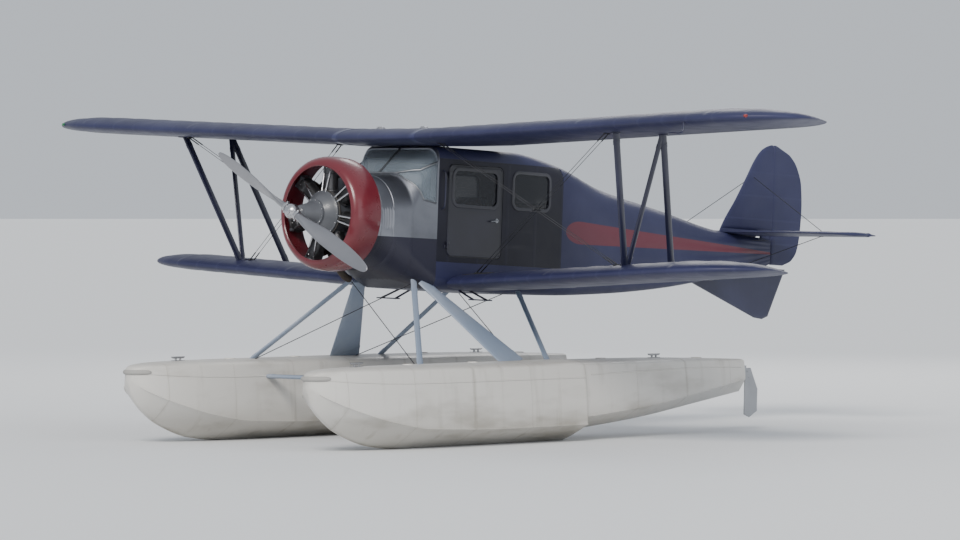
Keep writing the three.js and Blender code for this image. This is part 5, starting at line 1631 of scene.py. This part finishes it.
propeller_metal = bare_metal("propeller_blade_metal", (0.34, 0.34, 0.36), 0.26)
turn = circle(HUB_BOLTS.count) + HUB_BOLTS.start
bolts = spun(HUB_BOLTS.ahead, HUB_BOLTS.radius * cos(turn), HUB_BOLTS.radius * sin(turn))
hub_parts = [turned_body(HUB_PROFILE, 56, lambda x, z, y: spun(x, y, z)), *blade_clamp(1), *blade_clamp(-1),
             *[pin(bolt, AHEAD, 0, 0.014, 0.0068, 6) for bolt in bolts]]
piece("propeller_blades", [blade(1), blade(-1)], "propeller_metal", propeller_metal, "propeller",
      body="propeller")
piece("propeller_hub", hub_parts, "propeller_metal", bright_steel, body="propeller")


# Seats and bench
# Each front seat is a sprung frame with a leather cushion and back, filled with horsehair and piped
# round the edge; behind them is one wide bench. The frames are boxed in sheet metal painted black.
SEAT_SIDE = 0.235
FRONT_SEAT = Sizes(cushion=((1.78, -0.215, -0.245), (2.23, 0.215, -0.13)),
                   back=((2.158, -0.205, -0.2), (2.25, 0.205, 0.262)), lean=0.176)
BENCH = Sizes(cushion=((2.72, -0.45, -0.245), (3.23, 0.45, -0.13)),
              back=((3.146, -0.44, -0.2), (3.258, 0.44, 0.25)), lean=0.165)
COVER_INSET = 0.012  # of the plain form, which the stuffing swells outwards
SWELLING, PRESSURE, VOXEL, STEPS = 0.01, 4.0, 0.012, 20
SQUARENESS = 0.35
CHANNEL_DEPTH = 0.008
PIPING = Sizes(radius=0.0045, inset=0.027, corner=0.09, above=0.022, below=0.02)
LEATHER_BROWN, LEATHER_WORN = (0.135, 0.062, 0.034), (0.23, 0.125, 0.075)


def padded_form(low, high, lean):
    """A box with rounded corners: a superellipse outline stacked up a superellipse's height, leaning aft."""
    def squared(value):
        return np.sign(value) * np.abs(value) ** SQUARENESS

    middle, half = 0.5 * (low + high), 0.5 * (high - low)
    tilt, turn = linspace(-pi / 2, pi / 2, 26)[:, None], circle(104)
    ring, up = squared(cos(tilt)), half[2] * squared(sin(tilt))
    return rings_body(rigged(middle[0] + half[0] * ring * squared(cos(turn)) + lean * up,
                             middle[1] + half[1] * ring * squared(sin(turn)), middle[2] + up))


def coordinates(mesh):
    """A mesh's points as one array."""
    flat = np.empty(len(mesh.vertices) * 3)
    mesh.vertices.foreach_get("co", flat)
    return flat.reshape(-1, 3)


def as_it_shows(shown):
    """A mesh of the object with its modifiers applied; the object is taken out."""
    mesh = bpy.data.meshes.new_from_object(shown.evaluated_get(bpy.context.evaluated_depsgraph_get()))
    bpy.data.objects.remove(shown)
    return mesh


def swelled(form):
    """The form blown up like a stuffed cover: remeshed, run as cloth under pressure, each move capped."""
    plain = shown_as("form", mesh_of("form", *form))
    remesh = plain.modifiers.new("even", "REMESH")
    remesh.mode = "VOXEL"
    remesh.voxel_size = VOXEL
    bpy.context.view_layer.update()
    even = as_it_shows(plain)
    rest = coordinates(even)
    covered = shown_as("cover", even)
    cloth = covered.modifiers.new("cover", "CLOTH")
    cloth.settings.use_pressure = True
    cloth.settings.uniform_pressure_force = PRESSURE
    cloth.settings.effector_weights.gravity = 0
    for step in range(STEPS):
        bpy.context.scene.frame_set(step + 1)
    move = coordinates(as_it_shows(covered)) - rest
    length = np.linalg.norm(move, axis=1)[:, None]
    rest = rest + move * np.minimum(1, SWELLING / np.maximum(length, 1e-9))
    bpy.context.scene.frame_set(1)
    return even, rest


def cushion(names, low, high, lean, channels, width, across=True):
    """A stuffed pad, once for each name and its move sideways: its cover swells, then sewn channels pull
    it in along lines at sides or, for one that is sewn across, at stations."""
    low, high = array(low) + COVER_INSET, array(high) - COVER_INSET
    mesh, points = swelled(padded_form(low, high, lean))
    station, height = (HUB - points) @ AHEAD, (points - HUB) @ ABOVE
    middle = 0.5 * (low + high)
    up = height - middle[2]
    if lean:
        away = np.sign(station - middle[0] - lean * up)[:, None] * -AHEAD
    else:
        away = np.sign(up)[:, None] * ABOVE
    along = station if across else points[:, 1]
    for at in channels:
        points = points - CHANNEL_DEPTH * np.exp(-((along - at) / width) ** 2)[:, None] * away
    for name, side in names.items():
        own = mesh.copy()
        own.vertices.foreach_set("co", (points + [0, side, 0]).ravel())
        own.update()
        own.shade_smooth()
        own.materials.clear()
        own.materials.append(leather.material)
        shown = shown_as(name, own)
        finer = shown.modifiers.new("finer", "SUBSURF")
        finer.levels = 1
        finer.render_levels = 1
        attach(shown, "airframe")


def piping(low, high, level):
    """The corded seam round a pad: a rounded rectangle of round section at one height."""
    stations, sides = opening(room(low[0], high[0], low[1], high[1], PIPING.corner), PIPING.inset).T
    path = rigged(stations, sides, level)
    along = unit(np.roll(path, -1, 0) - np.roll(path, 1, 0))
    return rings_body(path[:, None] + circles_square_to(along, PIPING.radius, 8, ABOVE), closed=True)


def moved(corners, side):
    """A box's two corners, moved sideways."""
    return [np.add(corner, (0, side, 0)) for corner in corners]


def seat_frame(front, rear, half, seat):
    """The box under a cushion, a rim that the cushion sits in, and the shell of the back."""
    (low, high), (start, end) = seat.cushion, seat.back
    size = np.subtract(end, start)

    def shell_place(aft, out, up):
        return rigged(end[0] - 0.012 + 0.016 * aft + seat.lean * (start[2] + size[2] * up - 0.03),
                      start[1] + 0.012 + (size[1] - 0.024) * out, start[2] + 0.01 + (size[2] - 0.02) * up)

    return [pad((front, -half, FLOOR_TOP + SEAM), (rear, half, -0.243), 0.008),
            pad((low[0] + 0.02, low[1] + 0.02, -0.252), (high[0] - 0.02, high[1] - 0.02, -0.236), 0.006),
            pad((0, 0, 0), (1, 1, 1), 0.02, shell_place)]


leather = Finish("seat_leather", LEATHER_BROWN)
creases = leather.noise(26.0, 6.0, distortion=0.6)
leather.shade(leather.noise(5.0, 3.0).smooth(0.45, 0.75) * 0.6, LEATHER_BROWN, LEATHER_WORN)
leather.rough(0.36, 0.3, creases)
leather.bump(creases + 0.3 * leather.noise(240.0, 2.0), 0.002, 0.5)
piping_leather = matt("piping_leather", (0.08, 0.038, 0.022), 0.45, 0.3, 60.0, 3.0)
black_paint = painted_metal("black_crackle_paint", (0.03, 0.031, 0.033), (0.06, 0.06, 0.064), 0.48, 0.0)
black_paint.bump(black_paint.noise(300.0, 2.0), 0.0006, 0.6)

cushion({"front_cushion_port": 0, "front_cushion_starboard": -2 * SEAT_SIDE},
        *moved(FRONT_SEAT.cushion, SEAT_SIDE), 0.0, (1.93, 2.05), 0.012)
cushion({"front_back_port": 0, "front_back_starboard": -2 * SEAT_SIDE}, *moved(FRONT_SEAT.back, SEAT_SIDE),
        FRONT_SEAT.lean, (SEAT_SIDE - 0.07, SEAT_SIDE + 0.07), 0.012, across=False)
cushion({"bench_cushion": 0}, *BENCH.cushion, 0.0, (-0.15, 0.15), 0.014, across=False)
cushion({"bench_back": 0}, *BENCH.back, BENCH.lean, (-0.15, 0.15), 0.014, across=False)
both("front_seat_frame_{}", seat_frame(1.86, 2.16, 0.15, FRONT_SEAT), "panel_black", black_paint,
     "front_seat_{}", out=SEAT_SIDE)
piece("bench_frame", seat_frame(2.79, 3.15, 0.4, BENCH), "panel_black", black_paint, "rear_bench")
seams = []
for seat, sides in ((FRONT_SEAT, (SEAT_SIDE, -SEAT_SIDE)), (BENCH, (0,))):
    levels = (seat.cushion[0][2] + PIPING.above, seat.cushion[1][2] - PIPING.below)
    seams += [piping(*moved(seat.cushion, side), level) for side in sides for level in levels]
piece("seat_piping", seams, "seat_leather", piping_leather)


# Instrument panel and controls
# A black pressed panel under the windscreen with nine plain dials, switches and two knobs. One column
# between the pilots carries two wheels on a cross arm.
PANEL = Sizes(front=1.27, rear=1.29, low=-0.06, high=0.33, edge=0.003, bevel=0.004, gap=0.003)
# side, height, radius
DIALS = [*((side, 0.215, 0.04) for side in (-0.3, -0.195, -0.09, 0.09, 0.195, 0.3)), (0.0, 0.13, 0.034),
         (-0.195, 0.11, 0.03), (0.195, 0.11, 0.03)]
# distance behind the panel, share of the dial's radius
BEZEL = [(-0.002, 1.0), (0.006, 1.0), (0.009, 0.94), (0.008, 0.84), (0.003, 0.82), (0.003, 0.02),
         (-0.002, 0.02)]
FACE = [(0.0032, 0.8), (0.0044, 0.8), (0.0044, 0.02), (0.0032, 0.02)]
NEEDLE = Sizes(behind=0.0052, reach=array([-0.14, 0.26, 0.66]), radius=[0.0016, 0.0014, 0.0004], first=0.7,
               step=1.9)
TICK = Sizes(behind=0.0048, reach=array([-0.64, -0.75]), radius=0.0009)


def cross_board(levels, gap, rows):
    """A board across the cabin that follows its sides at a gap; each row is a station and an inset."""
    half = hull_side(np.full(len(levels), rows[0][0]), levels) - WALL - gap
    return rings_body([rigged(station, concatenate([half - inset, inset - half[::-1]]),
                              concatenate([levels, levels[::-1]])) for station, inset in rows])


def dial_part(profile, side, height, radius):
    """A profile turned about a line that points aft from the panel's face."""
    return turned_body(array(profile) * [1, radius], 32,
                       lambda aft, up, out: rigged(PANEL.rear + aft, side + out, height + up))


def dial_marks(number, side, height, radius):
    """One needle at an angle of its own, and eleven plain ticks round the lower gap."""
    def on_face(behind, reach, turn):
        return rigged(PANEL.rear + behind, side + radius * reach * math.sin(turn),
                      height + radius * reach * math.cos(turn))

    needle = on_face(NEEDLE.behind, NEEDLE.reach, NEEDLE.first + NEEDLE.step * number)
    return [tube(needle, NEEDLE.radius, 6, AHEAD),
            *[rod(*on_face(TICK.behind, TICK.reach, turn), TICK.radius, 4, AHEAD)
              for turn in linspace(0.25 * pi, 1.75 * pi, 11)]]


def stalk(side, aft, heights, radius, sides=10):
    """A rod that sticks out aft from the panel."""
    return rod(*rigged(PANEL.rear + array(aft), side, array(heights)), radius, sides)


panel_rows = [(PANEL.rear, PANEL.bevel), (PANEL.rear - PANEL.edge, 0), (PANEL.front + PANEL.edge, 0),
              (PANEL.front, PANEL.bevel)]
board_parts = [cross_board(linspace(PANEL.low, PANEL.high, 16), PANEL.gap, panel_rows)]
switches = [stalk(side, (0, 0.02), (0.02, 0.026), 0.004) for side in (-0.12, -0.08, -0.04, 0.04, 0.08, 0.12)]
for side in (-0.03, 0.03):
    switches += [stalk(side, (0, 0.055), (-0.02, -0.022), 0.004),
                 stalk(side, (0.05, 0.07), (-0.022, -0.023), 0.013, 20)]
dial_black = matt("dial_face_black", (0.012, 0.012, 0.013), 0.3, 0.15, 50.0)
dial_white = matt("dial_marks_white", (0.72, 0.7, 0.62), 0.45, 0.2, 80.0)
marks = [part for number, dial in enumerate(DIALS) for part in dial_marks(number, *dial)]
piece("instrument_board", [*board_parts, *[dial_part(BEZEL, *dial) for dial in DIALS]], "panel_black",
      black_paint, "instrument_panel")
piece("dial_faces", [dial_part(FACE, *dial) for dial in DIALS], "panel_black", dial_black)
piece("dial_needles_and_marks", marks, "panel_black", dial_white)
piece("panel_switches", switches, "engine_metal", bright_steel)

WHEEL = Sizes(station=1.548, height=0.025, side=0.225, radius=0.095, grip=0.011, fingers=20, finger_rise=0.08)
SPOKES = Sizes(run=array([0, 0.088]), radius=0.007, turns=(0.5 * pi, 1.5 * pi, 0.08 * pi, 0.92 * pi))
# station, height, radius
COLUMN = array([[1.56, FLOOR_TOP + 0.01, 0.024], [1.557, -0.36, 0.018], [1.545, -0.16, 0.017],
                [1.532, 0.01, 0.017], [1.53, 0.032, 0.017]])
column_parts = [rod(*rigged(1.56, 0, FLOOR_TOP + array([SEAM, 0.024])), 0.06, 36, AHEAD),
                tube(rigged(COLUMN[:, 0], 0, COLUMN[:, 1]), COLUMN[:, 2], 20, AHEAD),
                pin(rigged(1.53, 0, WHEEL.height), PORT, -0.228, 0.228, 0.015, 20)]
wheels = []
turn, round_grip = circle(60)[:, None], circle(14)
finger = WHEEL.grip * (1 + WHEEL.finger_rise * cos(WHEEL.fingers * turn))
reach = WHEEL.radius + finger * cos(round_grip)
for side in (-WHEEL.side, WHEEL.side):
    wheels.append(rings_body(rigged(WHEEL.station + finger * sin(round_grip), side + reach * cos(turn),
                                    WHEEL.height + reach * sin(turn)), closed=True))
    column_parts.append(rod(*rigged(array([1.52, 1.56]), side, WHEEL.height), 0.026, 28))
    for way in SPOKES.turns:
        spoke = rigged(WHEEL.station, side + SPOKES.run * math.cos(way),
                       WHEEL.height + SPOKES.run * math.sin(way))
        column_parts.append(rod(*spoke, SPOKES.radius, 12, AHEAD))
piece("control_column_frame", column_parts, "panel_black", black_paint, "control_column")
piece("control_wheels", wheels, "panel_black",
      matt("wheel_bakelite", (0.018, 0.016, 0.015), 0.22, 0.2, 20.0, 4.0, coat=0.3))


# Cabin lining and floor mats
# Grey-brown cloth on thin board lines the roof, the rear bulkhead, the side walls round their openings
# and the doors round their panes. Ribbed rubber mats lie on the floor boards.
CLOTH_GREY, CLOTH_PALE = (0.34, 0.32, 0.29), (0.44, 0.415, 0.38)
LINING = Sizes(thickness=0.004, bevel=0.001, depth=WALL + SEAM)
MAT = Sizes(half=0.44, lift=0.0002, top=0.005, runs=((1.62, 1.76), (2.3, 2.7)))
lining_cloth = Finish("cabin_lining_cloth", CLOTH_GREY)
weave = lining_cloth.noise(500.0, 2.0)
lining_cloth.shade(lining_cloth.noise(4.0, 4.0), CLOTH_GREY, CLOTH_PALE)
lining_cloth.rough(0.8, 0.15, weave)
lining_cloth.bump(weave, 0.0012, 0.5)
mat_rubber = matt("floor_mat_rubber", (0.03, 0.03, 0.031), 0.6, 0.2, 15.0, 4.0)
mat_rubber.bump(mat_rubber.every(mat_rubber.axis(1), 0.012, 0.006), 0.002, 0.7)


def lining_ring(inner, outer, rows=8):
    """A lined panel between two loops, inside the wall."""
    return wall_ring(inner, outer, LINING.thickness, rows, LINING.bevel, LINING.depth)


lining_stations = linspace(CABIN_FRONT + 0.004, CABIN_REAR - 0.01, 30)
headliner = skin_wall(lining_stations, share_at(lining_stations, 0.606), 1, 20, WALL + 0.001, WALL + 0.005)
bulkhead = cross_board(linspace(FLOOR_TOP + 0.004, 0.585, 24), 0.004,
                       [(CABIN_REAR - 0.01, 0), (CABIN_REAR - 0.004, 0)])
lining_low, lining_high = FLOOR_TOP + 0.008, ROOF_SPLIT - 0.006
front_room = room(CABIN_FRONT + 0.03, WALL_SPLIT - 0.001, lining_low, lining_high)
rear_room = room(WALL_SPLIT + 0.001, CABIN_REAR - 0.014, lining_low, lining_high)
wall_linings = [lining_ring(opening(DOOR, -0.02), opening(front_room)),
                lining_ring(opening(REAR_GLASS, -0.006), opening(rear_room))]
piece("cabin_lining", [headliner, bulkhead, *twin(*wall_linings)], "panel_black", lining_cloth)
both("door_lining_{}", [lining_ring(opening(DOOR_GLASS, -0.006), opening(DOOR, 0.03), 10)], "panel_black",
     lining_cloth, body="door_{}")
mats = [pad((front, -MAT.half, FLOOR_TOP + MAT.lift), (rear, MAT.half, FLOOR_TOP + MAT.top), 0.0015)
        for front, rear in MAT.runs]
piece("floor_mats", mats, "panel_black", mat_rubber)


# Small fittings
# Fuel caps and a pitot tube on the upper wing, inspection plates, a step and a grab handle at each
# door, a black walkway on each lower wing root, and the rudder's cables.
CAP_PLACE = surface_place(CENTRE, 0.42, 0.3, 1)
PITOT = Sizes(out=3.55, aft=0.03, up=-0.02)
# distance below, distance ahead, radius
PITOT_BEND = array([[0, 0, 0.01], [0.07, 0, 0.009], [0.105, 0.02, 0.008], [0.115, 0.07, 0.0075],
                    [0.115, 0.2, 0.006]])
INSPECTION_PLATES = ((UPPER, 1.6), (UPPER, 3.95), (LOWER, 1.25), (LOWER, 3.05))
WALKWAY = Sizes(out=linspace(0.15, 0.52, 16)[:, None], aft=linspace(0.18, 1.02, 40))
GRIT_BLACK, GRIT_WORN = (0.02, 0.02, 0.021), (0.06, 0.058, 0.055)
STEP = Sizes(station=2.03, side=0.64, height=-0.78, half=array([0.13, 0.045, 0.006]))
# side, height
GRAB = array([[0.524, 0.1], [0.556, 0.12], [0.562, 0.2], [0.562, 0.38], [0.556, 0.46], [0.524, 0.48]])

piece("fuel_caps", twin(pin(CAP_PLACE, ABOVE, -0.004, 0.008, 0.048, 36, PORT),
                        pin(CAP_PLACE, ABOVE, 0.006, 0.02, 0.036, 8, PORT)), "engine_metal", bright_steel)
pitot_path = on_wing(UPPER, PITOT.out, PITOT.aft, PITOT.up) + PITOT_BEND[:, :2] @ [-ABOVE, AHEAD]
piece("pitot_tube", [tube(pitot_path, PITOT_BEND[:, 2], 14, PORT)], "strut_blue", strut_paint)
plates = [pin(surface_place(wing, 1.0, side, -1), ABOVE, -0.0035, 0.003, 0.055, 32, PORT)
          for wing, side in INSPECTION_PLATES]
piece("wing_inspection_plates", twin(*plates), "airframe_blue", navy_paint)

walk_up = wing_height(LOWER, WALKWAY.out, WALKWAY.aft, 1)
walk = sheet_body(*(on_wing(LOWER, WALKWAY.out, WALKWAY.aft, walk_up + lift) for lift in (0.0022, -0.002)))
walkway_grit = Finish("walkway_grit", GRIT_BLACK)
grit = walkway_grit.noise(260.0, 2.0)
walkway_grit.shade(walkway_grit.noise(6.0, 4.0).smooth(0.5, 0.8) * 0.5, GRIT_BLACK, GRIT_WORN)
walkway_grit.rough(0.75, 0.2, grit)
walkway_grit.bump(grit, 0.0015, 0.8)
piece("wing_walkways", twin(walk), "panel_black", walkway_grit)

step_middle = array([STEP.station, STEP.side, STEP.height])
step_parts = [pad(step_middle - STEP.half, step_middle + STEP.half, 0.004),
              tube(rigged(1.56, GRAB[:, 0], GRAB[:, 1]), 0.0075, 14, AHEAD)]
for shift in (-0.1, 0.1):
    root = rigged(STEP.station + shift * 0.8, 0.41, -0.688)
    end = rigged(STEP.station + shift, STEP.side, STEP.height)
    step_parts.append(tube([root, 0.5 * (root + end), end], 0.01, 14, AHEAD))
piece("boarding_steps_and_grabs", twin(*step_parts), "strut_grey", strut_paint)
piece("rudder_cables", twin(rod(rigged(6.55, 0.1045, 0.02), rigged(7.188, 0.0605, 0.03), 0.0022, 6)),
      "wire_steel", wire_steel)
